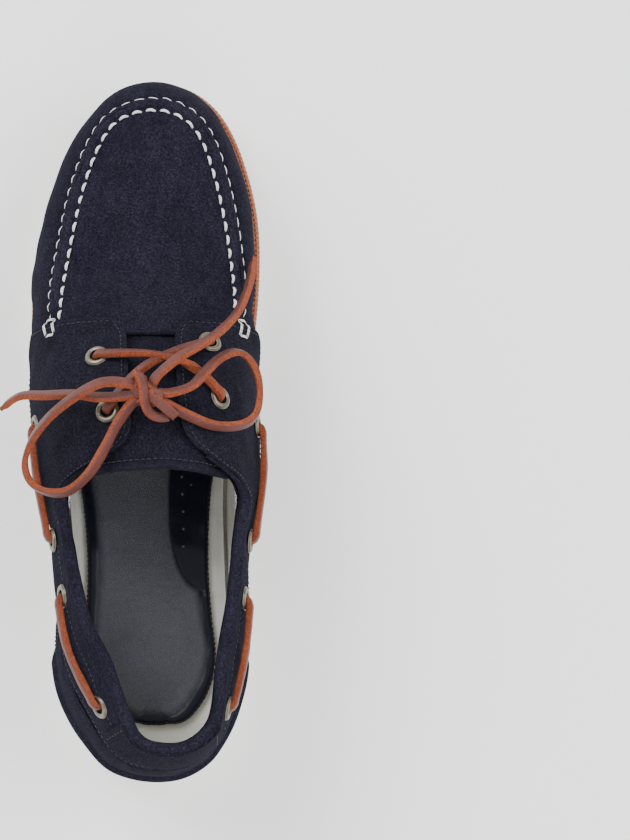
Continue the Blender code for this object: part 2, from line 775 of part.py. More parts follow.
def strap(name, points, sideways, finish):
    """A flat lace along points: a rectangle carried along, its width along the side directions."""
    points = np.asarray(points, float)
    tangent = np.gradient(points, axis=0)
    tangent /= np.linalg.norm(tangent, axis=1, keepdims=True)
    sideways = np.broadcast_to(sideways, points.shape)
    sideways = sideways - tangent * np.sum(sideways * tangent, axis=1, keepdims=True)
    sideways = sideways / np.linalg.norm(sideways, axis=1, keepdims=True)
    upward = np.cross(sideways, tangent)
    half_w, half_t = LACE_WIDTH / 2, LACE_THICKNESS / 2
    corners = ((-1, -1), (1, -1), (1, 1), (-1, 1))
    rings = np.stack(
        [points + sideways * (a * half_w) + upward * (b * half_t) for a, b in corners], axis=1
    )
    count = len(points)
    faces = [(0, 1, 2, 3), tuple(reversed(range(4 * count - 4, 4 * count)))]
    for i in range(count - 1):
        for j in range(4):
            n = (j + 1) % 4
            faces.append((i * 4 + n, i * 4 + j, i * 4 + 4 + j, i * 4 + 4 + n))
    return add_object(name, rings.reshape(-1, 3), faces, finish)


def in_face(direction, normal):
    """A direction laid into the face with a normal, at unit length."""
    flat = direction - normal * np.dot(direction, normal)
    return flat / np.linalg.norm(flat)


def lace_bar_points(first, second, samples):
    """A lace from one eyelet to the next: up out of the hole, over, and down again."""
    (point_a, normal_a, _, _), (point_b, normal_b, _, _) = first, second
    high = GAP * 2 + EYELET_PROUD + LACE_THICKNESS / 2
    run = point_b - point_a
    pull = np.linalg.norm(run)
    leave, arrive = in_face(run, normal_a), in_face(run, normal_b)
    ends = ((0.0, -0.0004), (0.0005, high * 0.62), (0.0030, high))
    points = [point_a + leave * along + normal_a * lift for along, lift in ends]
    start = point_a + leave * 0.0050 + normal_a * high
    stop = point_b - arrive * 0.0050 + normal_b * high
    for u in np.linspace(0, 1, samples):
        points.append(
            start * (1 + 2 * u) * (1 - u) ** 2
            + stop * (3 - 2 * u) * u**2
            + pull * (leave * u * (1 - u) ** 2 - arrive * u**2 * (1 - u))
        )
    for along, lift in reversed(ends):
        points.append(point_b - arrive * along + normal_b * lift)
    side = np.cross(run, normal_a + normal_b)
    return np.array(points), side / np.linalg.norm(side)


def make_side_bars(finish):
    """The lace that shows between side eyelets, two bars on each side."""
    for side, word in ((-1, "lateral"), (1, "medial")):
        frames = {}
        for eyelet in SIDE_EYELETS:
            around = float(round_angle_of(eyelet.share, side))
            up = float(angle_at_height(np.array(around), HEEL_HEIGHT * eyelet.height))
            frames[eyelet.name] = local_frame(around, up)
        for first, second, label in (("a", "b", "front"), ("c", "d", "rear")):
            points, sideways = lace_bar_points(frames[first], frames[second], 7)
            strap(f"lace_bar_{word}_{label}", points, sideways, finish)


def make_crossing(finish):
    """The two strands that cross over the tongue between the throat eyelets, joined in the middle."""
    frames = {}
    for eyelet in THROAT_EYELETS:
        around = float(round_angle_of(eyelet.share, eyelet.side))
        frames[eyelet.name] = local_frame(around, math.radians(eyelet.angle))
    pairs = (
        ("eyelet_throat_lateral_front", "eyelet_throat_medial_rear", "lace_crossing"),
        ("eyelet_throat_medial_front", "eyelet_throat_lateral_rear", "crossing_strand"),
    )
    made = []
    for first, second, label in pairs:
        points, sideways = lace_bar_points(frames[first], frames[second], 9)
        made.append(strap(label, points, sideways, finish))
    made[1].hide_render = True
    made[1].display_type = "WIRE"
    join = made[0].modifiers.new("join", "BOOLEAN")
    join.operation = "UNION"
    join.object = made[1]
    return made[0]


def smooth_route(route, step):
    """Even points on a Catmull-Rom curve through a route's own points."""
    points = np.asarray(route)
    padded = np.concatenate(
        [[2 * points[0] - points[1]], points, [2 * points[-1] - points[-2]]]
    )
    fine = []
    for k in range(len(points) - 1):
        a, b, c, d = padded[k : k + 4]
        for u in np.linspace(0, 1, 16, endpoint=False):
            fine.append(
                0.5
                * (2 * b + (c - a) * u + (2 * a - 5 * b + 4 * c - d) * u**2
                   + (3 * b - a - 3 * c + d) * u**3)
            )
    fine.append(points[-1])
    fine = np.array(fine)
    travelled = np.concatenate([[0], np.cumsum(np.linalg.norm(np.diff(fine, axis=0), axis=1))])
    count = max(4, int(round(travelled[-1] / step)) + 1)
    even = np.linspace(0, travelled[-1], count)
    return np.stack([np.interp(even, travelled, fine[:, k]) for k in range(3)], axis=1)


def knot_centre():
    x, y, z = KNOT_CENTRE
    return np.array((x, HEEL_Y + SOLE_LENGTH * y, z))


def at_knot(point):
    """The place just outside the knot on the line from its middle to a point."""
    half = np.array((KNOT_LENGTH, KNOT_WIDTH, KNOT_HEIGHT)) / 2
    arm = point - knot_centre()
    surface = 1 / np.linalg.norm(arm / half)
    return knot_centre() + arm * (surface + KNOT_GAP / np.linalg.norm(arm))


def make_cord(name, route, finish, loop=False):
    """A plain tube for a free stretch of the lace, from the knot and, for a loop, back to it."""
    route = np.array([(x, HEEL_Y + SOLE_LENGTH * y, z) for x, y, z in route])
    route[0] = at_knot(route[0])
    if loop:
        route[-1] = at_knot(route[-1])
    points = smooth_route(route, LACE_TUBE * 1.5)
    curve = bpy.data.curves.new(name, "CURVE")
    curve.dimensions = "3D"
    curve.bevel_depth = LACE_TUBE / 2
    curve.bevel_resolution = 2
    curve.use_fill_caps = True
    spline = curve.splines.new("POLY")
    spline.points.add(len(points) - 1)
    for target, point in zip(spline.points, points):
        target.co = (*point, 1)
    curve.materials.append(finish)
    obj = bpy.data.objects.new(name, curve)
    bpy.context.scene.collection.objects.link(obj)
    return obj


def make_knot(finish):
    """The bow's knot, as a plain rounded body."""
    rows, segments = 8, 14
    centre = knot_centre()
    half = np.array((KNOT_LENGTH, KNOT_WIDTH, KNOT_HEIGHT)) / 2
    points = [centre - (0, 0, half[2])]
    for i in range(1, rows):
        low = -math.pi / 2 + math.pi * i / rows
        for j in range(segments):
            turn = 2 * math.pi * j / segments
            spot = (math.cos(low) * math.cos(turn), math.cos(low) * math.sin(turn), math.sin(low))
            points.append(centre + half * spot)
    points.append(centre + (0, 0, half[2]))
    top = len(points) - 1
    faces = []
    for j in range(segments):
        n = (j + 1) % segments
        faces.append((0, 1 + n, 1 + j))
        start = 1 + (rows - 2) * segments
        faces.append((top, start + j, start + n))
        for i in range(rows - 2):
            a, b = 1 + i * segments, 1 + (i + 1) * segments
            faces.append((a + j, a + n, b + n, b + j))
    return add_object("lace_knot", points, faces, finish)


def main():
    clear_scene()
    cream = material("cream_rubber", (0.86, 0.85, 0.78), 0.6)
    tan = material("tan_leather", (0.42, 0.20, 0.10), 0.6)
    navy = material("navy_suede", (0.022, 0.023, 0.040), 0.9)
    navy_leather = material("navy_leather", (0.025, 0.028, 0.040), 0.5)
    metal = material("aged_metal", (0.55, 0.52, 0.44), 0.35, 1.0)
    lace = material("lace_leather", (0.36, 0.11, 0.05), 0.55)

    make_outsole(cream)
    make_midsole(tan)
    make_footbed(navy_leather)
    upper = make_upper(navy)
    overlay = make_overlay(navy)
    make_counter(navy)
    tab = make_heel_tab(navy)
    make_tongue(navy)
    for name, around, up in side_eyelet_stations():
        punch(overlay, around, up, f"hole_{name}")
        punch(upper, around, up, f"wall_hole_{name}")
        depth = OVERLAY_FACE + UPPER_WALL
        make_eyelet(name, around, up, depth, metal)
    for eyelet in THROAT_EYELETS:
        around = float(round_angle_of(eyelet.share, eyelet.side))
        up = math.radians(eyelet.angle)
        punch(overlay, around, up, f"hole_{eyelet.name}")
        make_eyelet(eyelet.name, around, up, OVERLAY_WALL, metal)
    make_side_bars(lace)
    make_crossing(lace)
    make_knot(lace)
    make_cord("lace_loop_lateral", LATERAL_LOOP, lace, loop=True)
    make_cord("lace_loop_medial", MEDIAL_LOOP, lace, loop=True)
    make_cord("lace_end_toe", TOE_END, lace)
    make_cord("lace_end_side", SIDE_END, lace)


if __name__ == "__main__":
    main()
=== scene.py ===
"""Dresses the boat shoe's solids: suede, stitching, footbed, eyelets, lace and sole.

Every leather piece lies on one surface, the last, which is the same function that shapes the
solids: a station is an angle round the outline and an angle up the section, and a lift moves a
point along the normal. Lengths are in metres.
"""

import math
from collections import namedtuple

import bmesh
import bpy
import numpy as np
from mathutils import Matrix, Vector


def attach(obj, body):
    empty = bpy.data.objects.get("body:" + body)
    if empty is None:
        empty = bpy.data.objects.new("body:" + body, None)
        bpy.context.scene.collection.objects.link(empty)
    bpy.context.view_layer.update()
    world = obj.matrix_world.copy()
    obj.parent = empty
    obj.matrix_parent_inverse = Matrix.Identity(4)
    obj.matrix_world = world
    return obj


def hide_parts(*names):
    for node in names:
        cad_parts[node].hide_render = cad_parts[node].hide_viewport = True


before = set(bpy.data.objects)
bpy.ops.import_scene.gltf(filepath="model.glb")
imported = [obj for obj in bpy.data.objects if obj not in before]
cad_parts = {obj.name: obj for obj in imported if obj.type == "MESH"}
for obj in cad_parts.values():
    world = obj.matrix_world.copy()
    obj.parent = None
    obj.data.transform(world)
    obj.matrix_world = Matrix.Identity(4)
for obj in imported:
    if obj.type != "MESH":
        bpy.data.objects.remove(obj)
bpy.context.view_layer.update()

bl_info = {
    "name": "Boat shoe",
    "version": (1, 0, 0),
    "blender": (4, 5, 0),
    "location": "View3D > Sidebar > Shoe",
    "description": "Dresses a suede boat shoe piece by piece",
    "category": "Add Mesh",
}

TURN = 2 * math.pi
SOLE_LENGTH = 0.298
BALL_WIDTH = 0.100
HEEL_SOLE = 0.021
FORE_SOLE = 0.012
TOE_SPRING = 0.009
ARCH_RISE = 0.0045
HEEL_TREAD_LENGTH = 0.071
BREAST_LENGTH = 0.010
TREAD_BORDER = 0.0055
MIDSOLE_THICKNESS = 0.0018
GAP = 0.0003
WELT_SHELF = 0.0025
INSTEP_HEIGHT = 0.100
HEEL_HEIGHT = 0.089
UPPER_WALL = 0.0018
SEAM_RIDGE = 0.0021
OVERLAY_WALL = 0.0016
OVERLAY_GAP = 0.0009
OVERLAY_FACE = OVERLAY_GAP + OVERLAY_WALL
OVERLAY_DEPTH = 0.044
OVERLAY_FRONT_DROP = 0.33
BASE_BELOW_COLLAR = 0.0012
FOOTBED_MARGIN = 0.0015
END_ROUNDNESS = 2.4
HEEL_Y = -HEEL_TREAD_LENGTH / 2
COLLAR_END = 0.355
FLAP_FRONT = 0.6145
SEAM_START = 0.6205
TONGUE_REAR = 0.391
TONGUE_FRONT = 0.6235
TONGUE_SIDE = math.radians(47.0)
COUNTER_FOOT = 0.130
COUNTER_HEAD = 0.215
COUNTER_WALL = 0.0012
KICKER = 0.0022
TAB_HALF = 0.42
TAB_LOW = 0.27
COLLAR_SUEDE_END = 0.362
COLLAR_SOFT_END = 0.40
COLLAR_ROLL_END = 0.412
COLLAR_ROLL_HALF = 0.0021
CUFF_DEPTH = 0.0050
CUFF_THREAD = 0.00030
CUFF_PITCH = 0.0030
EDGE_INSET = 0.0024
FINE_LENGTH = 0.0017
TREAD_DEPTH = 0.0008
TREAD_EDGE = 0.0012
WELT_PITCH = 0.0022
WELT_THREAD = 0.00042
PINHOLE_PITCH = (0.0041, 0.0075)
PINHOLE_START = (0.0124, 0.308)
FLOOR_REACH = 3.0
SKY_STRENGTH = 1.15
LIGHT_AIM = (0.0, 0.11, 0.04)
CAMERA_TARGET = (0.002, 0.1135, 0.030)
FRAME_HEIGHT = 0.3550
FRAME_SHIFT = 0.188

Section = namedtuple(
    "Section",
    "share lateral medial lateral_belly medial_belly spine ridge shift fullness",
)
SECTIONS = (
    Section(0.00, 0.505, 0.560, 0.066, 0.066, 0.108, 1.25, 0.205, 1.57),
    Section(0.05, 0.505, 0.530, 0.082, 0.044, 0.112, 1.25, 0.215, 1.42),
    Section(0.10, 0.482, 0.482, 0.104, 0.074, 0.205, 1.25, 0.165, 1.52),
    Section(0.20, 0.435, 0.420, 0.060, 0.065, 0.262, 1.19, 0.085, 1.90),
    Section(0.30, 0.405, 0.378, 0.058, 0.058, 0.314, 1.13, 0.105, 2.32),
    Section(0.40, 0.415, 0.360, 0.078, 0.110, 0.408, 1.04, 0.050, 2.45),
    Section(0.50, 0.460, 0.385, 0.066, 0.078, 0.500, 0.98, 0.015, 2.60),
    Section(0.60, 0.515, 0.435, 0.030, 0.036, 0.600, 0.79, 0.00, 3.10),
    Section(0.70, 0.545, 0.485, 0.020, 0.018, 0.695, 0.61, -0.02, 3.90),
    Section(0.80, 0.545, 0.530, 0.014, 0.010, 0.785, 0.555, -0.03, 3.80),
    Section(0.90, 0.538, 0.555, 0.010, 0.008, 0.850, 0.53, 0.00, 3.00),
    Section(1.00, 0.500, 0.600, 0.010, 0.010, 0.885, 0.515, 0.01, 2.40),
)
Collar = namedtuple("Collar", "share height")
COLLAR = (
    Collar(0.00, 0.985),
    Collar(0.05, 1.000),
    Collar(0.20, 0.955),
    Collar(0.29, 0.900),
    Collar(0.345, 0.868),
    Collar(0.40, 0.940),
    Collar(0.46, 1.000),
)
Edge = namedtuple("Edge", "share flap seam_lateral seam_medial")
EDGES = (
    Edge(0.355, 36.0, 35.0, 35.0),
    Edge(0.375, 40.0, 36.0, 36.0),
    Edge(0.391, 48.0, 36.8, 36.8),
    Edge(0.407, 62.0, 37.6, 37.6),
    Edge(0.423, 72.0, 38.6, 38.6),
    Edge(0.443, 77.0, 39.6, 39.6),
    Edge(0.475, 78.3, 41.0, 41.0),
    Edge(0.560, 78.5, 44.2, 43.6),
    Edge(0.620, 78.5, 47.0, 45.0),
    Edge(0.660, 78.5, 49.0, 46.1),
    Edge(0.700, 78.5, 50.8, 47.8),
    Edge(0.750, 78.5, 52.0, 49.5),
    Edge(0.800, 78.5, 52.4, 51.0),
    Edge(0.850, 78.5, 52.1, 52.0),
    Edge(0.900, 78.5, 51.2, 52.9),
    Edge(0.950, 78.5, 51.8, 54.9),
    Edge(1.000, 78.5, 60.0, 60.0),
)

# Shape of the last


def through(rows, column, at):
    """Smooth curve through a table's column: cubic Hermite pieces with averaged slopes."""
    x = np.array([row.share for row in rows])
    y = np.array([getattr(row, column) for row in rows])
    slope = np.gradient(y, x)
    at = np.clip(np.asarray(at, float), x[0], x[-1])
    k = np.clip(np.searchsorted(x, at) - 1, 0, len(x) - 2)
    step = x[k + 1] - x[k]
    u = (at - x[k]) / step
    rising = u * u * (3 - 2 * u)
    bend = step * (slope[k] * u * (1 - u) ** 2 - slope[k + 1] * u * u * (1 - u))
    return y[k] * (1 - rising) + y[k + 1] * rising + bend


def ease(value):
    """0 below 0, 1 above 1, and the cubic 3v^2 - 2v^3 between."""
    value = np.clip(value, 0.0, 1.0)
    return value * value * (3 - 2 * value)


def thinned(from_edge, depth, width):
    """How much a skived edge takes off: depth times the square of the share of width left."""
    return depth * (1 - np.clip(from_edge / width, 0, 1)) ** 2


def bump_at(value, centre, width):
    """A soft hill: e to the minus squared distance over width squared."""
    return np.exp(-(((value - centre) / width) ** 2))


def circle(count):
    return np.arange(count) * TURN / count


def share_of(around):
    return (1 - np.cos(around)) / 2


def share_at(y):
    return (y - HEEL_Y) / SOLE_LENGTH


def y_at(share):
    return HEEL_Y + SOLE_LENGTH * share


def around_of(share, side):
    """Angle round the outline at a share of the length, on side -1 (lateral) or 1 (medial)."""
    angle = np.arccos(1 - 2 * np.clip(np.asarray(share, float), 0, 1))
    return np.where(np.asarray(side) < 0, angle, TURN - angle)


def station(share, side=-1):
    return float(around_of(share, side))


def round_heel(share, count):
    """Angles from a lateral station back round the heel to its medial twin."""
    return np.linspace(station(share), -station(share), count)


def is_medial(around):
    return np.sin(around) < 0


def by_side(rows, column, around):
    """A table's medial or lateral column, whichever side each station is on."""
    share = share_of(around)
    medial, lateral = (through(rows, column.format(side), share) for side in ("medial", "lateral"))
    return np.where(is_medial(around), medial, lateral)


def toe_rise(share):
    return TOE_SPRING * np.clip((np.asarray(share) - 0.68) / 0.32, 0, 1) ** 2


def sole_top(share):
    """Level under the heel, dropping to the ball, and up with the toe."""
    drop = ease((np.asarray(share) - 0.20) / 0.42)
    return HEEL_SOLE + (FORE_SOLE - HEEL_SOLE) * drop + toe_rise(share)


def sole_bottom(share):
    """Flat heel tread, slanted breast, arch, flat forefoot and toe spring."""
    share = np.asarray(share, float)
    breast_start = HEEL_TREAD_LENGTH / SOLE_LENGTH
    breast_end = breast_start + BREAST_LENGTH / SOLE_LENGTH
    up = np.clip((share - breast_start) / (breast_end - breast_start), 0, 1)
    down = ease((share - breast_end) / (0.47 - breast_end))
    return ARCH_RISE * up * (1 - down) + toe_rise(share)


def outline(around, inset=0.0):
    """The sole's outline: half width times a superellipse's taper, moved in towards the spine."""
    share = share_of(around)
    width = by_side(SECTIONS, "{}", around)
    taper = np.maximum(1 - np.abs(2 * share - 1) ** END_ROUNDNESS, 0) ** (1 / END_ROUNDNESS)
    x = np.where(is_medial(around), 1, -1) * BALL_WIDTH * width * taper
    y = y_at(share)
    middle_y = y_at(through(SECTIONS, "spine", share))
    reach = np.hypot(x, y - middle_y)
    keep = 1 - inset / np.maximum(reach, 1e-9)
    return x * keep, middle_y + (y - middle_y) * keep


def seat_height(share):
    return sole_top(share) + MIDSOLE_THICKNESS + 2 * GAP


def feather_height(around):
    return seat_height(share_of(around))


def bare_last(around, up):
    """A quarter superellipse from the feather edge to the spine, swollen over its first third."""
    share = share_of(around)
    power = through(SECTIONS, "fullness", share)
    cos, sin = np.cos(up), np.sin(up)
    size = (np.abs(cos) ** power + np.abs(sin) ** power) ** (1 / power)
    out, rise = cos / size, sin / size
    foot_x, foot_y = outline(around, WELT_SHELF)
    top_x = BALL_WIDTH * through(SECTIONS, "shift", share)
    spine = through(SECTIONS, "spine", share)
    top_y = y_at(spine)
    belly = BALL_WIDTH * by_side(SECTIONS, "{}_belly", around)
    reach = np.maximum(np.hypot(foot_x - top_x, foot_y - top_y), 1e-9)
    swell = 1 + belly * ease(rise / 0.38) / reach
    ridge = INSTEP_HEIGHT * through(SECTIONS, "ridge", spine)
    foot_z = feather_height(around)
    x = top_x + (foot_x - top_x) * out * swell
    y = top_y + (foot_y - top_y) * out * swell
    z = foot_z + (ridge - foot_z) * rise
    return np.stack(np.broadcast_arrays(x, y, z), axis=-1)


def unit(vectors):
    return vectors / np.maximum(np.linalg.norm(vectors, axis=-1, keepdims=True), 1e-12)


def last_normal(around, up):
    """Outward normal, from central differences."""
    small = 1e-3
    up = np.clip(up, small, math.pi / 2 - small)
    along = bare_last(around + small, up) - bare_last(around - small, up)
    over = bare_last(around, up + small) - bare_last(around, up - small)
    return unit(np.cross(over, along))


def last(around, up, lift=0.0):
    """The last's surface moved out along its normal by a lift."""
    around, up, lift = np.broadcast_arrays(around, up, lift)
    return bare_last(around, up) + last_normal(around, up) * lift[..., None]


def angle_at_height(around, height):
    """Angle up the section at a height over the floor."""
    share = share_of(around)
    power = through(SECTIONS, "fullness", share)
    ridge = INSTEP_HEIGHT * through(SECTIONS, "ridge", through(SECTIONS, "spine", share))
    foot_z = feather_height(around)
    rise = np.clip((height - foot_z) / (ridge - foot_z), 0, 0.999)
    return np.arctan2(rise, (1 - rise**power) ** (1 / power))


def collar_angle(around, below=0.0):
    height = HEEL_HEIGHT * through(COLLAR, "height", share_of(around)) - below
    return angle_at_height(around, height)


def from_collar(around, below, front):
    """The collar's angle behind, changing to the front's just before the collar's end."""
    blend = ease((share_of(around) - COLLAR_END + 0.02) / 0.04)
    return collar_angle(around, below) * (1 - blend) + front * blend


def top_angle(around, below=0.0):
    """The overlay's upper edge: the collar behind and the throat flap's edge in front."""
    flap = np.radians(through(EDGES, "flap", share_of(around)))
    return from_collar(around, below, flap)


def seam_angle(around):
    return np.radians(by_side(EDGES, "seam_{}", around))


def base_angle(around):
    """The wall's upper edge: under the collar behind, the seam's line in front."""
    return from_collar(around, BASE_BELOW_COLLAR, seam_angle(around))


def corner_cut(distance, radius):
    """How much a rounded corner takes off at a distance from its end: r less the circle's rise."""
    inside = np.clip(distance, 0, radius)
    return radius - np.sqrt(np.maximum(radius**2 - (radius - inside) ** 2, 0))


FLAP_INNER_ROUND = 0.010
FLAP_OUTER_ROUND = 0.012


def overlay_low_angle(around):
    """The overlay's lower edge, with its rounded corner at the front."""
    share = share_of(around)
    drop = OVERLAY_DEPTH * (1 - OVERLAY_FRONT_DROP * np.clip(share / FLAP_FRONT, 0, 1))
    from_front = (FLAP_FRONT - share) * SOLE_LENGTH
    height = feather_height(around) + drop + corner_cut(from_front, FLAP_OUTER_ROUND)
    return angle_at_height(around, height)


def overlay_high_angle(around):
    share = share_of(around)
    from_front = (FLAP_FRONT - share) * SOLE_LENGTH
    return top_angle(around) - corner_cut(from_front, FLAP_INNER_ROUND) / (BALL_WIDTH / 2)


def rate_up(around, up):
    """Metres of surface for one radian up the section."""
    small = 1e-3
    step = bare_last(around, up + small) - bare_last(around, up - small)
    return np.linalg.norm(step, axis=-1) / (2 * small)


# Meshes from grids


def grid_quads(rows, columns, wrap=False, start=0):
    """Quads of a grid of points, rows first, that may close round on itself."""
    i = np.arange(rows if wrap else rows - 1)[:, None]
    j = np.arange(columns - 1)[None, :]
    a = i * columns + j
    b = ((i + 1) % rows) * columns + j
    return start + np.stack([a, b, b + 1, a + 1], axis=-1).reshape(-1, 4)


def patch(around, low, high, steps):
    """A grid of stations: round the outline, and by steps from a lower to an upper angle."""
    low, high = (np.broadcast_to(edge, around.shape)[:, None] for edge in (low, high))
    up = low + (high - low) * steps[None, :]
    return np.broadcast_to(around[:, None], up.shape), up


def repeated(faces, each, count):
    """The faces of one shape of so many points, again for each of its copies."""
    return (faces[None] + (np.arange(count) * each)[:, None, None]).reshape(-1, 4)


def build_mesh(name, points, faces, finishes, slots=0, attributes=None, weld=0.0, outwards=False):
    """One object from an array of points and a list of quads, with a slot number per face."""
    mesh = bpy.data.meshes.new(name)
    mesh.from_pydata(points.reshape(-1, 3).tolist(), [], [list(map(int, f)) for f in faces])
    for finish in finishes:
        mesh.materials.append(finish)
    numbers = np.zeros(len(faces), dtype=np.int32) + np.asarray(slots, dtype=np.int32)
    mesh.polygons.foreach_set("material_index", numbers)
    for key, values in (attributes or {}).items():
        layer = mesh.attributes.new(key, "FLOAT", "POINT")
        layer.data.foreach_set("value", np.asarray(values, dtype=np.float32).ravel())
    if weld or outwards:
        work = bmesh.new()
        work.from_mesh(mesh)
        bmesh.ops.remove_doubles(work, verts=work.verts, dist=max(weld, 1e-7))
        bmesh.ops.dissolve_degenerate(work, edges=work.edges, dist=1e-7)
        if outwards:
            bmesh.ops.recalc_face_normals(work, faces=work.faces)
        work.to_mesh(mesh)
        work.free()
    mesh.validate()
    mesh.shade_smooth()
    obj = bpy.data.objects.new(name, mesh)
    bpy.context.scene.collection.objects.link(obj)
    return obj


def closed_sheet(
    name, outer, inner, finishes, wear, *nodes, wrap=False, weld=0.0, welded_top=False
):
    """A leather wall between two grids of points. Its slots are the outer face, the inner and the
    rim. Where the last column closes on itself, it is welded and has no rim."""
    rows, columns = outer.shape[:2]
    count = rows * columns
    front = grid_quads(rows, columns, wrap)
    back = grid_quads(rows, columns, wrap, count)[:, ::-1]
    index = np.arange(count).reshape(rows, columns)
    runs = [index[::-1, 0]] if welded_top else [index[::-1, 0], index[:, -1]]
    if wrap:
        runs = [np.append(run, run[0]) for run in runs]
    else:
        runs += [index[0, :], index[-1, ::-1]]
    rims = [
        np.stack([run[1:], run[:-1], run[:-1] + count, run[1:] + count], axis=-1) for run in runs
    ]
    slots = np.repeat([0, 1, 2], [len(front), len(back), sum(map(len, rims))])
    slots = np.minimum(slots, len(finishes) - 1)
    faces = np.concatenate([front, back] + rims)
    points = np.concatenate([outer.reshape(-1, 3), inner.reshape(-1, 3)])
    values = {"wear": np.tile(np.ravel(wear), 2)}
    piece = build_mesh(name, points, faces, finishes, slots, values, weld, outwards=bool(weld))
    return settle(piece, "navy_suede", *nodes)


def tube(name, path, sides, ups, across, over, finish, attributes=None, closed=False):
    """A section carried along a path: each ring is path + side * across + up * over, which hold
    one row for each ring."""
    rings = path[:, None] + sides[:, None] * across[..., None] + ups[:, None] * over[..., None]
    rows, columns = rings.shape[:2]
    i = np.arange(rows if closed else rows - 1)[:, None]
    j = np.arange(columns)[None, :]
    a, b = i * columns + j, i * columns + (j + 1) % columns
    jump = ((i + 1) % rows - i) * columns
    faces = np.stack([a, b, b + jump, a + jump], axis=-1).reshape(-1, 4).tolist()
    if not closed:
        faces.append(list(range(columns))[::-1])
        faces.append(list(range((rows - 1) * columns, rows * columns)))
    return build_mesh(name, rings, faces, [finish], 0, attributes, outwards=True)


def arc_lengths(path):
    steps = np.linalg.norm(np.diff(path, axis=0), axis=1)
    return np.concatenate([[0.0], np.cumsum(steps)])


def along_path(values, travelled, at):
    return np.stack([np.interp(at, travelled, values[:, k]) for k in range(3)], axis=-1)


def stitch_points(path, normals, pitch, length, radius, rise=0.5, slant=0.0, phase=0.5):
    """Stitches in a row: each is a short thread whose height is the sine of its own length, so
    that both ends sink in. Returns an array of stitch, ring, spoke and coordinate."""
    travelled = arc_lengths(path)
    count = max(1, int((travelled[-1] - length) / pitch))
    centres = (np.arange(count) + phase) * (travelled[-1] / count)
    rings, spokes = 6, 6
    u = np.linspace(-0.5, 0.5, rings)
    at = centres[:, None] + u[None, :] * length
    middle = along_path(path, travelled, at)
    normal = unit(along_path(normals, travelled, at))
    ahead = unit(along_path(path, travelled, at + 1e-4) - along_path(path, travelled, at - 1e-4))
    side = unit(np.cross(ahead, normal))
    arch = np.cos(u * math.pi)
    middle = middle + normal * ((arch * (1 + rise) - 0.55) * radius)[None, :, None]
    middle = middle + side * (u * slant * length)[None, :, None]
    thick = radius * (0.55 + 0.45 * np.sqrt(np.maximum(arch, 0)))
    turn = circle(spokes)
    return (
        middle[:, :, None, :]
        + side[:, :, None, :] * (np.cos(turn) * thick[:, None])[None, :, :, None]
        + normal[:, :, None, :] * (np.sin(turn) * thick[:, None])[None, :, :, None]
    )


def stitches(name, groups, finish, slot="navy_suede"):
    """All the stitches of one thread as one piece on the body, each a closed capsule."""
    threads = np.concatenate(groups)
    count, rings, spokes = threads.shape[:3]
    each = rings * spokes
    i = np.arange(rings - 1)[:, None]
    j = np.arange(spokes)[None, :]
    a = i * spokes + j
    b = i * spokes + (j + 1) % spokes
    quads = np.stack([a, a + spokes, b + spokes, b], axis=-1).reshape(-1, 4)
    caps = np.array([list(range(spokes))[::-1], list(range(each - spokes, each))])
    caps = np.concatenate([caps[:, [0, 1, 2, 3]], caps[:, [0, 3, 4, 5]]])
    faces = repeated(np.concatenate([quads, caps]), each, count)
    row = build_mesh(name, threads, faces, [finish], outwards=True)
    return settle(row, slot)


def fine_row(path, normals, length=FINE_LENGTH):
    """A row of the fine thread that joins the leather pieces."""
    return stitch_points(path, normals, sizes().fine_pitch, length, sizes().fine_thread, 0.6)


def surface_path(around, up, lift):
    """Points and normals along a line on the last."""
    return last(around, up, lift), last_normal(*np.broadcast_arrays(around, up))


# Finishes


def add_node(tree, kind, settings=None, **inputs):
    """One node with its settings, and its inputs as values or as sockets to link."""
    made = tree.nodes.new(kind)
    for key, value in (settings or {}).items():
        setattr(made, key, value)
    for key, value in inputs.items():
        socket = made.inputs[int(key[1:])] if key[0] == "_" else made.inputs[key.replace("_", " ")]
        if isinstance(value, bpy.types.NodeSocket):
            tree.links.new(value, socket)
        else:
            socket.default_value = value
    return made


def new_finish(name, colour, roughness, metallic=0.0, sheen=0.0, coat=0.0, specular=0.5):
    """An empty material with its fixed values on the shader's own sockets."""
    material = bpy.data.materials.new(name)
    material.use_nodes = True
    tree = material.node_tree
    shader = tree.nodes["Principled BSDF"]
    shader.inputs["Base Color"].default_value = (*colour, 1)
    shader.inputs["Roughness"].default_value = roughness
    shader.inputs["Metallic"].default_value = metallic
    shader.inputs["Sheen Weight"].default_value = sheen
    shader.inputs["Sheen Roughness"].default_value = 0.45
    shader.inputs["Coat Weight"].default_value = coat
    shader.inputs["Specular IOR Level"].default_value = specular
    return material, tree, shader


def object_coordinates(tree, stretch=(1, 1, 1)):
    where = add_node(tree, "ShaderNodeTexCoord")
    mapped = add_node(tree, "ShaderNodeMapping", Vector=where.outputs["Object"])
    mapped.inputs["Scale"].default_value = stretch
    return mapped.outputs["Vector"]


def noise(tree, vector, scale, detail=4.0, rough=0.55):
    made = add_node(
        tree, "ShaderNodeTexNoise", Vector=vector, Scale=scale, Detail=detail, Roughness=rough
    )
    return made.outputs["Fac"]


def shade(colour, factor, extra=0.0):
    return tuple(factor * c + extra for c in colour)


def rgba(colour):
    """A colour, or one number for a grey, with its alpha."""
    return (*((colour,) * 3 if isinstance(colour, float) else colour), 1)


def ramp(tree, value, stops):
    """A colour ramp from a list of place and colour."""
    made = add_node(tree, "ShaderNodeValToRGB", Fac=value)
    while len(made.color_ramp.elements) < len(stops):
        made.color_ramp.elements.new(0.5)
    for element, (place, colour) in zip(made.color_ramp.elements, stops):
        element.position = place
        element.color = rgba(colour)
    return made.outputs["Color"]


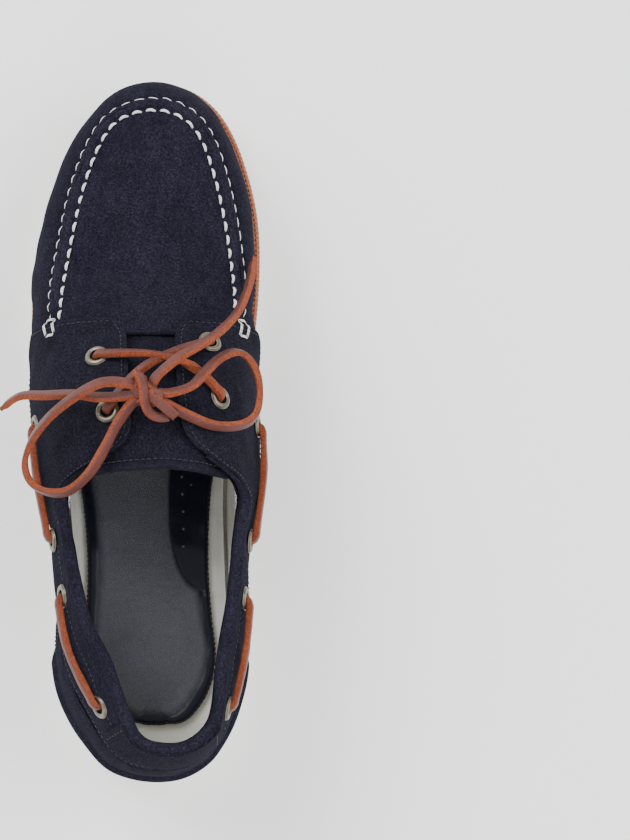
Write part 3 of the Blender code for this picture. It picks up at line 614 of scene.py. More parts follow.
def blend(tree, factor, first, second, mode="MIX"):
    made = add_node(tree, "ShaderNodeMix", {"data_type": "RGBA", "blend_type": mode})
    for number, value in ((0, factor), (6, first), (7, second)):
        if isinstance(value, bpy.types.NodeSocket):
            tree.links.new(value, made.inputs[number])
        else:
            made.inputs[number].default_value = rgba(value) if number else value
    return made.outputs[2]


def dulled(tree, value, colour, factor, low, high):
    return ramp(tree, value, [(low, shade(colour, factor)), (high, colour)])


def dress(material, paint, heights, gloss=None):
    """Links a finish's colour, roughness and bumps, which lie one over another, each as height
    socket, distance in metres and strength."""
    tree = material.node_tree
    shader = tree.nodes["Principled BSDF"]
    tree.links.new(paint, shader.inputs["Base Color"])
    if gloss is not None:
        tree.links.new(gloss, shader.inputs["Roughness"])
    normal = None
    for height, distance, strength in heights:
        made = add_node(tree, "ShaderNodeBump", Height=height, Distance=distance, Strength=strength)
        if normal is not None:
            tree.links.new(normal, made.inputs["Normal"])
        normal = made.outputs["Normal"]
    tree.links.new(normal, shader.inputs["Normal"])
    return material


def attribute(tree, name):
    return add_node(tree, "ShaderNodeAttribute", {"attribute_name": name}).outputs["Fac"]


def suede(name, deep, dusty, nap=1.0):
    """Brushed hide: cloudy colour where the nap lies two ways, fibre-fine speckle and relief, and
    a paler tone by an attribute: rubbed nap on edges, painted highlight and rubbed nap on ridges."""
    material, tree, shader = new_finish(name, deep, 1.0, sheen=0.02, specular=0.03)
    shader.inputs["Sheen Tint"].default_value = (0.55, 0.58, 0.72, 1)
    at = object_coordinates(tree)
    clouds = noise(tree, at, 42.0, 6.0, 0.66)
    strokes = noise(tree, object_coordinates(tree, (1.0, 0.30, 1.0)), 260.0, 5.0, 0.66)
    fibre = noise(tree, at, 1150.0, 6.0, 0.82)
    fluff = noise(tree, at, 3300.0, 3.0, 0.7)
    cloudy = ramp(tree, clouds, [(0.28, deep), (0.76, dusty)])
    cloudy = blend(tree, 0.5, cloudy, ramp(tree, strokes, [(0.30, deep), (0.72, dusty)]))
    flecks = [(0.34, (0.22, 0.22, 0.26)), (0.50, 0.90), (0.64, 2.1), (0.74, 4.2)]
    speckle = ramp(tree, fibre, flecks)
    cloudy = blend(tree, 0.9, cloudy, speckle, "MULTIPLY")
    cloudy = blend(tree, 0.6, cloudy, ramp(tree, fluff, [(0.36, 0.55), (0.64, 1.8)]), "MULTIPLY")
    # The paler tone: rubbed nap on edges, painted highlight with rubbed nap on ridges.
    rubbed = blend(tree, 1.0, cloudy, (1.5, 1.48, 1.4), "MULTIPLY")
    worn = blend(tree, attribute(tree, "wear"), cloudy, rubbed)
    heights = [
        (clouds, 0.0006, 0.30 * nap), (strokes, 0.00022, 0.6 * nap),
        (fibre, 0.00030, 0.9 * nap), (fluff, 0.00008, 0.8 * nap),
    ]
    return dress(material, worn, heights)


def grain_leather(
    name, deep, pale, roughness, cell, depth=0.00012, coat=0.08, glaze=None, specular=0.45
):
    """Smooth hide: pebbled cells and a slight colour cloud, paler where an attribute marks wear,
    and darker and glossier where a second one marks a darker pad and a band of painted shade."""
    material, tree, shader = new_finish(name, deep, roughness, coat=coat, specular=specular)
    shader.inputs["Coat Roughness"].default_value = 0.35
    at = object_coordinates(tree)
    clouds = noise(tree, at, 40.0, 4.0)
    warp = add_node(tree, "ShaderNodeVectorMath", {"operation": "ADD"}, _0=at)
    swirl = add_node(tree, "ShaderNodeTexNoise", Vector=at, Scale=300.0)
    swirled = swirl.outputs["Color"]
    small = add_node(tree, "ShaderNodeVectorMath", {"operation": "SCALE"}, _0=swirled)
    small.inputs["Scale"].default_value = 0.0012
    tree.links.new(small.outputs["Vector"], warp.inputs[1])
    cells = add_node(
        tree, "ShaderNodeTexVoronoi", {"feature": "DISTANCE_TO_EDGE"},
        Vector=warp.outputs["Vector"], Scale=cell,
    ).outputs["Distance"]
    furrow = ramp(tree, cells, [(0.0, 0.0), (0.22, 1.0)])
    colour = ramp(tree, clouds, [(0.35, deep), (0.70, pale)])
    colour = blend(tree, 0.60, colour, blend(tree, furrow, shade(deep, 0.5), pale))
    colour = blend(tree, attribute(tree, "wear"), colour, shade(pale, 1.6, 0.01))
    gloss = ramp(tree, clouds, [(0.3, roughness - 0.07), (0.7, roughness + 0.12)])
    # A darker pad's own colour and gloss, and painted shade in a band round the sock's rim.
    if glaze:
        colour = blend(tree, attribute(tree, "glaze"), colour, glaze)
        gloss = blend(tree, attribute(tree, "glaze"), gloss, 0.22)
        furrow = blend(tree, attribute(tree, "glaze"), furrow, 0.9)
    return dress(material, colour, [(clouds, 0.0006, 0.15), (furrow, depth, 0.8)], gloss)


def rubber(name, colour, siped=False):
    """Moulded sole: faint cloud, dust specks and a fine matt skin; the tread has wavy sipes, with
    painted shade in their cuts.
    """
    material, tree, _ = new_finish(name, colour, 0.55, specular=0.4)
    at = object_coordinates(tree)
    clouds = noise(tree, at, 30.0, 5.0, 0.6)
    specks = noise(tree, at, 1400.0, 2.0)
    paint = dulled(tree, clouds, colour, 0.90, 0.30, 0.62)
    dust = ramp(tree, specks, [(0.30, (0.80, 0.79, 0.76)), (0.42, 1.0)])
    paint = blend(tree, 0.35, paint, dust, "MULTIPLY")
    heights = [(clouds, 0.0005, 0.12), (specks, 0.00005, 0.5)]
    if siped:
        wave = add_node(
            tree, "ShaderNodeTexWave",
            {"wave_type": "BANDS", "bands_direction": "Y", "wave_profile": "SIN"},
            Vector=at, Scale=95.0, Distortion=2.2, Detail=0.0,
        )
        wave.inputs["Detail Scale"].default_value = 3.2
        cuts = ramp(tree, wave.outputs["Fac"], [(0.10, 0.0), (0.26, 1.0)])
        # Painted shade: the sipes' cuts darker than the rubber, as shadow in the slits.
        paint = blend(tree, cuts, shade(colour, 0.45), paint)
        heights.append((cuts, 0.0006, 0.9))
    return dress(material, paint, heights)


def thread(name, colour):
    """Waxed thread: two plies wound round, seen as slanting bands with painted shade between the
    plies, and clouds of soil.
    """
    material, tree, _ = new_finish(name, colour, 0.6, sheen=0.1, specular=0.35)
    at = object_coordinates(tree, (1.0, 1.0, 0.6))
    ply = add_node(
        tree, "ShaderNodeTexWave", {"wave_type": "BANDS", "bands_direction": "DIAGONAL"},
        Vector=at, Scale=420.0, Distortion=0.6,
    ).outputs["Fac"]
    # Painted shade: darker in the hollows between the plies.
    paint = dulled(tree, ply, colour, 0.78, 0.2, 0.7)
    soil = ramp(tree, noise(tree, at, 160.0, 3.0), [(0.3, 0.78), (0.6, 1.0)])
    paint = blend(tree, 0.5, paint, soil, "MULTIPLY")
    return dress(material, paint, [(ply, 0.00012, 0.6)])


def aged_metal(name, bright, dark):
    """Antiqued eyelet: bright on what is rubbed, dark in the corners, with fine scratches."""
    material, tree, _ = new_finish(name, bright, 0.34, metallic=1.0)
    at = object_coordinates(tree)
    tarnish = noise(tree, at, 380.0, 5.0, 0.65)
    scratch = noise(tree, object_coordinates(tree, (1.0, 6.0, 1.0)), 900.0, 3.0)
    paint = ramp(tree, tarnish, [(0.34, dark), (0.58, bright)])
    paint = blend(tree, attribute(tree, "soil"), paint, shade(dark, 0.35))
    gloss = ramp(tree, tarnish, [(0.3, 0.55), (0.65, 0.26)])
    return dress(material, paint, [(scratch, 0.00004, 0.6), (tarnish, 0.00006, 0.4)], gloss)


def lace_hide(name, smooth_side, rough_side):
    """Lace leather: the side attribute is 1 on the smooth grain side and 0 on the flesh side."""
    material, tree, _ = new_finish(name, rough_side, 0.6, specular=0.28)
    at = object_coordinates(tree)
    side = attribute(tree, "side")
    clouds = noise(tree, at, 130.0, 5.0, 0.6)
    fibre = noise(tree, at, 1300.0, 6.0, 0.80)
    fluff = noise(tree, at, 3600.0, 3.0, 0.7)
    grain = dulled(tree, clouds, smooth_side, 0.62, 0.3, 0.7)
    rubbed = ramp(tree, fibre, [(0.42, 0.86), (0.66, (1.55, 1.60, 1.60))])
    grain = blend(tree, 0.5, grain, rubbed, "MULTIPLY")
    flesh = dulled(tree, clouds, rough_side, 0.72, 0.3, 0.68)
    speckle = ramp(tree, fibre, [(0.36, (0.42, 0.36, 0.32)), (0.50, 0.95), (0.68, (1.7, 1.9, 2.1))])
    flesh = blend(tree, 0.85, flesh, speckle, "MULTIPLY")
    gloss = ramp(tree, side, [(0.0, 0.92), (1.0, 0.44)])
    heights = [(clouds, 0.0004, 0.4), (fibre, 0.00022, 0.8), (fluff, 0.00006, 0.7)]
    return dress(material, blend(tree, side, flesh, grain), heights, gloss)


def lining_cloth(name, colour):
    """Microfibre lining: pressed fibre with tiny pores."""
    material, tree, _ = new_finish(name, colour, 0.85, sheen=0.1, specular=0.25)
    at = object_coordinates(tree)
    clouds = noise(tree, at, 70.0, 4.0)
    pores = add_node(tree, "ShaderNodeTexVoronoi", Vector=at, Scale=1500.0).outputs["Distance"]
    paint = dulled(tree, clouds, colour, 0.84, 0.32, 0.68)
    return dress(material, paint, [(clouds, 0.0005, 0.2), (pores, 0.00008, 0.5)])


# Folds and the hide's unevenness

Crease = namedtuple("Crease", "side share degrees length width depth lean")
CREASES = (
    Crease(-1, 0.660, 26, 0.030, 0.0050, -0.0009, 0.10),
    Crease(-1, 0.700, 30, 0.034, 0.0060, 0.0008, -0.15),
    Crease(-1, 0.560, 20, 0.034, 0.0065, -0.0010, 0.35),
    Crease(-1, 0.470, 18, 0.040, 0.0080, 0.0009, 0.25),
    Crease(-1, 0.330, 24, 0.038, 0.0070, -0.0010, -0.20),
    Crease(1, 0.650, 27, 0.030, 0.0055, -0.0009, -0.10),
    Crease(1, 0.600, 22, 0.036, 0.0060, 0.0008, 0.20),
    Crease(1, 0.520, 19, 0.040, 0.0080, -0.0010, 0.30),
    Crease(1, 0.380, 24, 0.040, 0.0080, 0.0010, -0.25),
    Crease(1, 0.300, 20, 0.036, 0.0070, -0.0008, 0.15),
    Crease(-1, 0.740, 66, 0.046, 0.0090, -0.0007, 0.05),
    Crease(-1, 0.800, 70, 0.046, 0.0100, 0.0006, -0.05),
    Crease(1, 0.760, 68, 0.044, 0.0090, -0.0006, 0.06),
    Crease(1, 0.690, 72, 0.050, 0.0080, -0.0008, -0.04),
)


def fold_lift(around, up):
    """Soft troughs and ridges: each is a hill across its width times a longer hill along it."""
    share = share_of(around)
    side = np.where(is_medial(around), 1, -1)
    total = np.zeros(np.broadcast(around, up).shape)
    for fold in CREASES:
        along = (share - fold.share) * SOLE_LENGTH
        over = (np.degrees(up) - fold.degrees) / 90 * 0.085
        across = along - fold.lean * over
        hill = bump_at(across, 0, fold.width) * bump_at(over, 0, fold.length / 2)
        total = total + np.where(side == fold.side, fold.depth * hill, 0)
    return total


def ripples(around, up, seed, size=0.02, depth=0.0004):
    """A sum of eight plane waves in random directions, as the hide's own unevenness."""
    draw = np.random.default_rng(seed)
    place = bare_last(around, up)
    total = np.zeros(place.shape[:-1])
    for _ in range(8):
        direction = unit(draw.normal(size=3))
        wave = size * draw.uniform(0.6, 1.6)
        total += np.sin(place @ direction * TURN / wave + draw.uniform(0, 6.3))
    return total * depth / 3


# The seam

SEAM_PITCH = 0.0060
SEAM_HALF = 0.0028


def seam_run():
    """Stations along the seam from the lateral flap round the toe to the medial flap, evenly
    spaced by arc, with the distance travelled at each."""
    start = station(FLAP_FRONT + 0.004)
    fine = np.linspace(start, TURN - start, 1600)
    travelled = arc_lengths(bare_last(fine, seam_angle(fine)))
    even = np.interp(np.linspace(0, travelled[-1], 900), travelled, fine)
    return even, np.linspace(0, travelled[-1], 900)


SEAM_AROUND, SEAM_TRAVEL = seam_run()


def seam_distance(around, up):
    """Metres over the surface from the seam's line, positive on the plug."""
    seam = seam_angle(around)
    return (up - seam) * rate_up(around, seam)


def seam_relief(around, up):
    """The pinched ridge: a flat-topped hill 1 - |d|^4 with a pleat at each stitch, deeper on
    the wall, which is gathered to the plug, and a shallow ditch on either side."""
    away = seam_distance(around, up)
    travelled = np.interp(around, SEAM_AROUND, SEAM_TRAVEL)
    phase = travelled / SEAM_PITCH * TURN
    ridge = np.clip(1 - (np.abs(away) / SEAM_HALF) ** 4, 0, 1)
    pleat = 0.5 + 0.5 * np.cos(phase)
    height = SEAM_RIDGE * ridge * (1 - 0.13 * (1 - pleat))
    height -= 0.0004 * bump_at(np.abs(away), SEAM_HALF + 0.0008, 0.0011)
    gather = np.where(away < 0, 0.00042, 0.00012) * (pleat - 0.5)
    height += gather * np.exp(-np.abs(away) / 0.0062)
    front = ease((share_of(around) - SEAM_START) / 0.019)
    return height * front


# Paler along the seam's ridge: painted highlight with rubbed nap.
def seam_ridge_rub_and_highlight(around, up):
    away = seam_distance(around, up)
    return 0.50 * bump_at(away, 0, 0.0026) * ease((share_of(around) - SEAM_START) / 0.02)


# The laces' routes, as in the solids: X, Y as a share of the length, and height

KNOT_CENTRE = (-0.0020, 0.494, 0.1106)
KNOT_SIZE = (0.0170, 0.0150, 0.0080)
KNOT_GAP = 0.0009
KNOT_TUCK = 0.45
# The knot's two outer wraps, in metres from its centre
WRAP_OVER = (
    (-0.0038, 0.0080, -0.0010),
    (-0.0030, 0.0062, 0.0024),
    (-0.0019, 0.0030, 0.0042),
    (-0.0013, 0.0000, 0.0046),
    (-0.0010, -0.0034, 0.0041),
    (-0.0001, -0.0066, 0.0022),
    (0.0020, -0.0088, -0.0002),
    (0.0052, -0.0097, -0.0016),
    (0.0084, -0.0092, -0.0024),
)
WRAP_UNDER = (
    (-0.0010, -0.0010, 0.0014),
    (0.0016, -0.0022, 0.0026),
    (0.0046, -0.0042, 0.0026),
    (0.0080, -0.0068, 0.0012),
    (0.0112, -0.0093, -0.0012),
)
LATERAL_LOOP = (
    (-0.0130, 0.510, 0.1138),
    (-0.0198, 0.505, 0.1141),
    (-0.0303, 0.489, 0.1099),
    (-0.0405, 0.468, 0.0992),
    (-0.0481, 0.443, 0.0859),
    (-0.0513, 0.415, 0.0796),
    (-0.0488, 0.388, 0.0798),
    (-0.0414, 0.372, 0.0856),
    (-0.0329, 0.372, 0.0916),
    (-0.0246, 0.393, 0.0991),
    (-0.0186, 0.423, 0.1050),
    (-0.0143, 0.451, 0.1066),
    (-0.0110, 0.471, 0.1086),
)
MEDIAL_LOOP = (
    (0.0090, 0.473, 0.1078),
    (0.0152, 0.465, 0.1048),
    (0.0245, 0.455, 0.1009),
    (0.0345, 0.457, 0.0965),
    (0.0408, 0.471, 0.0929),
    (0.0431, 0.496, 0.0913),
    (0.0426, 0.526, 0.0895),
    (0.0391, 0.550, 0.0911),
    (0.0338, 0.558, 0.0950),
    (0.0270, 0.546, 0.1006),
    (0.0209, 0.524, 0.1056),
    (0.0157, 0.504, 0.1088),
    (0.0118, 0.494, 0.1096),
)
TOE_END = (
    (0.0040, 0.525, 0.1123),
    (0.0110, 0.542, 0.1108),
    (0.0197, 0.561, 0.1072),
    (0.0271, 0.583, 0.1007),
    (0.0336, 0.612, 0.0901),
    (0.0380, 0.647, 0.0773),
    (0.0408, 0.683, 0.0648),
    (0.0424, 0.718, 0.0542),
)
SIDE_END = (
    (-0.0150, 0.488, 0.1078),
    (-0.0215, 0.490, 0.1066),
    (-0.0310, 0.496, 0.1031),
    (-0.0430, 0.498, 0.0964),
    (-0.0530, 0.500, 0.0907),
    (-0.0610, 0.486, 0.0841),
)
Eyelet = namedtuple("Eyelet", "name side share degrees")
THROAT_EYELETS = (
    Eyelet("eyelet_throat_lateral_front", -1, 0.552, 66.0),
    Eyelet("eyelet_throat_lateral_rear", -1, 0.473, 69.0),
    Eyelet("eyelet_throat_medial_front", 1, 0.575, 62.0),
    Eyelet("eyelet_throat_medial_rear", 1, 0.495, 58.0),
)
SideEyelet = namedtuple("SideEyelet", "name share height")
SIDE_EYELETS = (
    SideEyelet("a", 0.475, 0.674),
    SideEyelet("b", 0.315, 0.747),
    SideEyelet("c", 0.232, 0.815),
    SideEyelet("d", 0.070, 0.880),
)
EYELET_HOLE = 0.0026
EYELET_FLANGE = 0.0049
EYELET_PROUD = 0.0009


def knot_centre():
    x, y, z = KNOT_CENTRE
    return np.array((x, y_at(y), z))


def at_knot(point):
    arm = point - knot_centre()
    surface = 1 / np.linalg.norm(arm / (np.array(KNOT_SIZE) / 2))
    return knot_centre() + arm * (surface + KNOT_GAP / np.linalg.norm(arm))


def tucked(point):
    return knot_centre() + (point - knot_centre()) * KNOT_TUCK


def smooth_route(route, step=0.0012):
    """Even points on a Catmull-Rom curve through a route's own points."""
    points = np.asarray(route)
    padded = np.concatenate([[2 * points[0] - points[1]], points, [2 * points[-1] - points[-2]]])
    a, b, c, d = (padded[k : len(points) - 1 + k, None] for k in range(4))
    u = np.linspace(0, 1, 16, endpoint=False)[None, :, None]
    fine = 0.5 * (
        2 * b + (c - a) * u + (2 * a - 5 * b + 4 * c - d) * u**2 + (3 * b - a - 3 * c + d) * u**3
    )
    fine = np.concatenate([fine.reshape(-1, 3), points[-1:]])
    travelled = arc_lengths(fine)
    count = max(4, int(round(travelled[-1] / step)) + 1)
    return along_path(fine, travelled, np.linspace(0, travelled[-1], count))


def cord_route(table, loop):
    """The route of a loop or an end, with a start, and a loop's finish, tucked into the knot."""
    route = [np.array((x, y_at(y), z)) for x, y, z in table]
    route[0] = at_knot(route[0])
    route.insert(0, tucked(route[0]))
    if loop:
        route[-1] = at_knot(route[-1])
        route.append(tucked(route[-1]))
    return smooth_route(route)


def strap_profile(width, thickness):
    """A lace's section, cut square from hide: the grain face first, its corners barely worn, and
    the cut edges a little hollow."""
    w, t, r = width / 2, thickness / 2, thickness * 0.10
    half = [
        (-w + r, t), (-w / 2, t * 1.06), (0, t * 1.09), (w / 2, t * 1.06), (w - r, t),
        (w - 0.2 * r, t - 0.5 * r), (w, t - 1.6 * r), (w * 0.975, 0), (w, -t + 1.6 * r),
    ]
    half = np.array(half)
    return np.concatenate([half, half * (-1, -1)])


STRAP_SIDE = np.array([1.0] * 5 + [0.35] + [0.0] * 11 + [0.35])


def carried_frame(path, up_start, twist):
    """Side and up directions along a path: each ring's up is the one before it, laid square to
    the path, and then turned about the path by the twist in radians."""
    ahead = unit(np.gradient(path, axis=0))
    up = np.empty_like(path)
    current = np.asarray(up_start, float)
    for k, direction in enumerate(ahead):
        current = current - direction * (current @ direction)
        current = current / np.linalg.norm(current)
        up[k] = current
    side = np.cross(ahead, up)
    turn = np.broadcast_to(twist, len(path))[:, None]
    turned_side = side * np.cos(turn) + up * np.sin(turn)
    return turned_side, np.cross(turned_side, ahead)


def lace_strap(name, node, path, up_start, twist, width, thickness, seed, nib=0.0):
    """A flat leather lace carried along a path, its width and thickness each a sum of four sines
    round the mean. The nib narrows the last few rings to a cut end."""
    side, up = carried_frame(path, up_start, twist)
    draw = np.random.default_rng(seed)
    travelled = arc_lengths(path)
    wobble = sum(
        np.sin(travelled * TURN / draw.uniform(0.008, 0.03) + draw.uniform(0, 6)) for _ in range(4)
    )
    width_now = width * (1 + 0.022 * wobble)
    thick_now = thickness * (1 + 0.03 * np.roll(wobble, 5))
    if nib:
        close = np.clip((travelled[-1] - travelled) / nib, 0.35, 1)
        width_now, thick_now = width_now * close, thick_now * np.sqrt(close)
    shape = strap_profile(1.0, thickness / width) / np.array([1.0, thickness / width])
    across, over = shape[:, 0] * width_now[:, None], shape[:, 1] * thick_now[:, None]
    sides = {"side": np.tile(STRAP_SIDE, len(path))}
    piece = tube(name, path, side, up, across, over, lace_finish(), sides)
    return settle(piece, "lace_leather", node)


# Sizes and colours that a user changes


def size_property(name, description, default, **kind):
    kind = kind or {"unit": "LENGTH"}
    return bpy.props.FloatProperty(name=name, description=description, default=default, **kind)


def colour_property(name, description, default):
    return bpy.props.FloatVectorProperty(
        name=name, description=description, default=default, subtype="COLOR", min=0, max=1, size=3
    )


class ShoeSizes(bpy.types.PropertyGroup):
    """Sizes of what is added to the solids."""

    fine_pitch: size_property("Fine stitch pitch", "From one fine stitch to the next", 0.0023)
    fine_thread: size_property("Fine thread", "Radius of the fine thread", 0.00024)
    bold_thread: size_property("Seam thread", "Radius of the moccasin seam's thread", 0.00068)
    lace_width: size_property("Lace width", "Width of the flat lace", 0.0037)
    lace_thickness: size_property("Lace thickness", "Thickness of the flat lace", 0.0025)
    camera_height: size_property("Camera distance", "From the camera to the shoe's middle", 1.15)
    camera_elevation: size_property(
        "Camera elevation", "Angle of the view over the floor", math.radians(81.0), subtype="ANGLE"
    )


class ShoeColours(bpy.types.PropertyGroup):
    """Colours of the shoe."""

    suede_deep: colour_property("Suede, deep", "Where the nap lies dark", (0.0062, 0.0059, 0.0112))
    suede_dusty: colour_property("Suede, dusty", "Where it lies light", (0.0155, 0.0146, 0.024))
    flap: colour_property("Flaps", "The darker hide of the flaps", (0.0062, 0.0060, 0.0098))
    # Paler than the leather's own tone, as painted sheen: with the dark rim band it stands in for
    # the sock's sheen.
    footbed: colour_property("Footbed", "The sock's leather", (0.0820, 0.0840, 0.1010))
    lining: colour_property("Lining", "The quarters' lining", (0.680, 0.670, 0.610))
    rubber: colour_property("Sole", "The moulded sole", (0.800, 0.795, 0.730))
    welt: colour_property("Welt", "The midsole's edge", (0.215, 0.066, 0.026))
    white_thread: colour_property("White thread", "The moccasin seam's thread", (0.72, 0.73, 0.74))
    navy_thread: colour_property("Navy thread", "The fine thread", (0.0120, 0.0125, 0.0190))
    lace_smooth: colour_property("Lace, smooth side", "The lace's grain side", (0.115, 0.03, 0.022))
    lace_rough: colour_property("Lace, rough side", "The lace's flesh side", (0.24, 0.053, 0.02))
    metal: colour_property("Eyelets", "Aged metal", (0.210, 0.195, 0.160))


def sizes():
    return bpy.context.scene.shoe_sizes


def colour(name):
    return tuple(getattr(bpy.context.scene.shoe_colours, name))


def finish_of(name, make, *values):
    """The material of a name, made the first time that it is asked for."""
    return bpy.data.materials.get(name) or make(name, *values)


def suede_finish():
    return finish_of("navy_suede_dressed", suede, colour("suede_deep"), colour("suede_dusty"))


def flap_finish():
    return finish_of("navy_flap_hide", suede, colour("flap"), shade(colour("flap"), 2.1), 0.8)


def lining_finish():
    return finish_of("grey_lining", lining_cloth, colour("lining"))


def white_thread():
    return finish_of("white_thread", thread, colour("white_thread"))


def navy_thread():
    return finish_of("navy_thread", thread, colour("navy_thread"))


def lace_finish():
    return finish_of("lace_hide", lace_hide, colour("lace_smooth"), colour("lace_rough"))


def settle(piece, slot, *nodes):
    """Puts a piece on the body and hides the solids that it stands for. The slot is not used."""
    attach(piece, "root")
    if nodes:
        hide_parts(*nodes)
    return piece


# Sole


def outline_rings(insets, heights, count):
    """Rings of the outline, each at an inset and a height over its own share: station by ring."""
    around = circle(count)
    rings = []
    for inset, height in zip(insets, heights):
        x, y = outline(around, inset)
        rings.append(np.stack([x, y, height(share_at(y))], axis=-1))
    return np.stack(rings, axis=1)


def slab_caps(count, ring_count):
    """Quads across the first and the last ring, from each station to its mirror image."""
    half = count // 2
    i = np.arange(half)
    quads = np.stack([i, i + 1, (count - i - 1) % count, (count - i) % count], axis=-1)
    first = quads * ring_count
    last_ring = quads[:, ::-1] * ring_count + ring_count - 1
    faces = []
    for quad in np.concatenate([first, last_ring]).tolist():
        faces.append([v for k, v in enumerate(quad) if v not in quad[:k]])
    return faces


def slab(name, rings, slots, finishes, attributes=None):
    """A closed slab from station-by-ring points, underside first; slots is one per ring band."""
    count, ring_count = rings.shape[:2]
    band = grid_quads(count, ring_count, wrap=True)
    caps = slab_caps(count, ring_count)
    band_slots = np.tile(np.asarray(slots[1:-1]), count)
    cap_slots = np.repeat([slots[0], slots[-1]], len(caps) // 2)
    faces = band.tolist() + caps
    slots = np.concatenate([band_slots, cap_slots])
    return build_mesh(name, rings, faces, finishes, slots, attributes, outwards=True)


class SHOE_OT_outsole(bpy.types.Operator):
    """Moulded rubber sole: siped treads inside a plain border, and a wall with a rolled edge."""

    bl_idname = "shoe.outsole"
    bl_label = "Outsole"

    def execute(self, context):
        edge = TREAD_EDGE

        def border(share):
            return sole_bottom(share) + TREAD_DEPTH

        def wall_low(share):
            return border(share) + edge

        bands = [
            (TREAD_BORDER + TREAD_DEPTH, sole_bottom),
            (TREAD_BORDER + 0.0006, lambda s: sole_bottom(s) + 0.0004),
            (TREAD_BORDER, border),
            (edge, border),
            (edge * 0.30, lambda s: border(s) + edge * 0.30),
            (0.0, wall_low),
            (-0.0002, lambda s: 0.5 * (wall_low(s) + sole_top(s))),
            (0.0, lambda s: sole_top(s) - 0.0016),
            (0.00025, lambda s: sole_top(s) - 0.0012),
            (0.0, lambda s: sole_top(s) - 0.0008),
            (0.0003, lambda s: sole_top(s) - 0.0002),
            (0.0009, sole_top),
        ]
        rings = outline_rings(*zip(*bands), 480)
        cream = colour("rubber")
        finishes = [rubber("siped_rubber", cream, siped=True), rubber("cream_sole", cream)]
        slots = [0] + [1] * len(bands)
        piece = slab("sole_unit", rings, slots, finishes)
        settle(piece, "cream_rubber", "outsole")
        return {"FINISHED"}


class SHOE_OT_midsole(bpy.types.Operator):
    """Leather layer with a finely ribbed edge, and the welt's stitches lying on it."""

    bl_idname = "shoe.midsole"
    bl_label = "Midsole and welt"

    def execute(self, context):
        count = 1500
        around = circle(count)
        travelled = arc_lengths(np.stack(outline(around), axis=-1))
        notch = 0.00016 * (0.5 + 0.5 * np.cos(travelled / 0.0021 * TURN))
        low = [
            (0.0009, GAP), (0.0004, GAP + 0.0002), (0.0001, GAP + 0.0007),
            (0.0003, GAP + 0.0012), (0.0008, GAP + MIDSOLE_THICKNESS),
            (WELT_SHELF + UPPER_WALL, GAP + MIDSOLE_THICKNESS),
        ]
        rings = []
        for inset, rise in low:
            x, y = outline(around, inset + notch)
            rings.append(np.stack([x, y, sole_top(share_at(y)) + rise], axis=-1))
        tan = colour("welt")
        leather = grain_leather("welt_leather", tan, shade(tan, 1.5), 0.5, 1600.0)
        wear = np.broadcast_to((0.5 * notch / notch.max())[:, None], (count, len(low)))
        piece = slab(
            "welt_layer", np.stack(rings, axis=1), [0] * len(low) + [1],
            [leather, lining_finish()], {"wear": wear},
        )
        settle(piece, "tan_leather", "midsole")

        x, y = outline(around, 0.0015)
        path = np.stack([x, y, sole_top(share_at(y)) + GAP + MIDSOLE_THICKNESS], axis=-1)
        up = np.broadcast_to([0.0, 0.0, 1.0], path.shape)
        row = stitch_points(path, up, WELT_PITCH, 0.0018, WELT_THREAD)
        stitches("welt_stitches", [row], thread("welt_thread", shade(tan, 1.7)), "tan_leather")
        return {"FINISHED"}


# Footbed


# The arch pad's centre and half sizes: X in metres, Y as a share of the length
ARCH_PAD = (0.0235, 0.385, 0.0165, 0.130)
PAD_ROUNDNESS = 2.4


def arch_pad_share(x, y):
    """1 inside the arch pad and 0 outside: a soft-edged superellipse at the medial waist."""
    cx, cy, rx, ry = ARCH_PAD
    across, along = np.abs((x - cx) / rx), np.abs((share_at(y) - cy) / ry)
    away = (across**PAD_ROUNDNESS + along**PAD_ROUNDNESS) ** (1 / PAD_ROUNDNESS)
    return ease((1.04 - away) / 0.07)


# Bare lining between the wall and the sock: share of the length, then widths in metres
Margin = namedtuple("Margin", "share lateral medial")
SOCK_MARGIN = (
    Margin(0.000, 0.0152, 0.0152),
    Margin(0.012, 0.0149, 0.0149),
    Margin(0.030, 0.0128, 0.0126),
    Margin(0.070, 0.0082, 0.0080),
    Margin(0.120, 0.0054, 0.0057),
    Margin(0.200, 0.0054, 0.0070),
    Margin(0.300, 0.0056, 0.0068),
    Margin(0.380, 0.0055, 0.0055),
    Margin(0.50, 0.0035, 0.0025),
    Margin(1.00, 0.0030, 0.0025),
)
SOCK_EDGE = WELT_SHELF + UPPER_WALL + FOOTBED_MARGIN


def sock_height(x, y, inset, margin):
    """Height of the footbed's top: lining that runs up to the wall, then the sock's rolled rim,
    a groove inside it, the cupped seat and the arch pad."""
    share = share_at(y)
    inside = inset - margin
    heel = 1 - ease((share - 0.40) / 0.25)
    pad = arch_pad_share(x, y)
    lining = 0.0008 + thinned(inset, 0.0045 * heel, margin)
    rim = 0.0030 + 0.0013 * heel
    roll = rim * np.sqrt(np.clip(1 - (1 - np.clip(inside / 0.0013, 0, 1)) ** 2, 0, 1))
    dip = (0.0014 + 0.0012 * heel) * ease((inside - 0.0020) / 0.0110) * (1 - 0.8 * pad)
    cloth = 0.00022 * np.sin(x * 240 + y * 130) * np.sin(y * 310 - x * 90)
    face = lining * (inside < 0) + (0.0008 + roll - dip) * (inside >= 0)
    return seat_height(share) + face + 0.0014 * pad + cloth


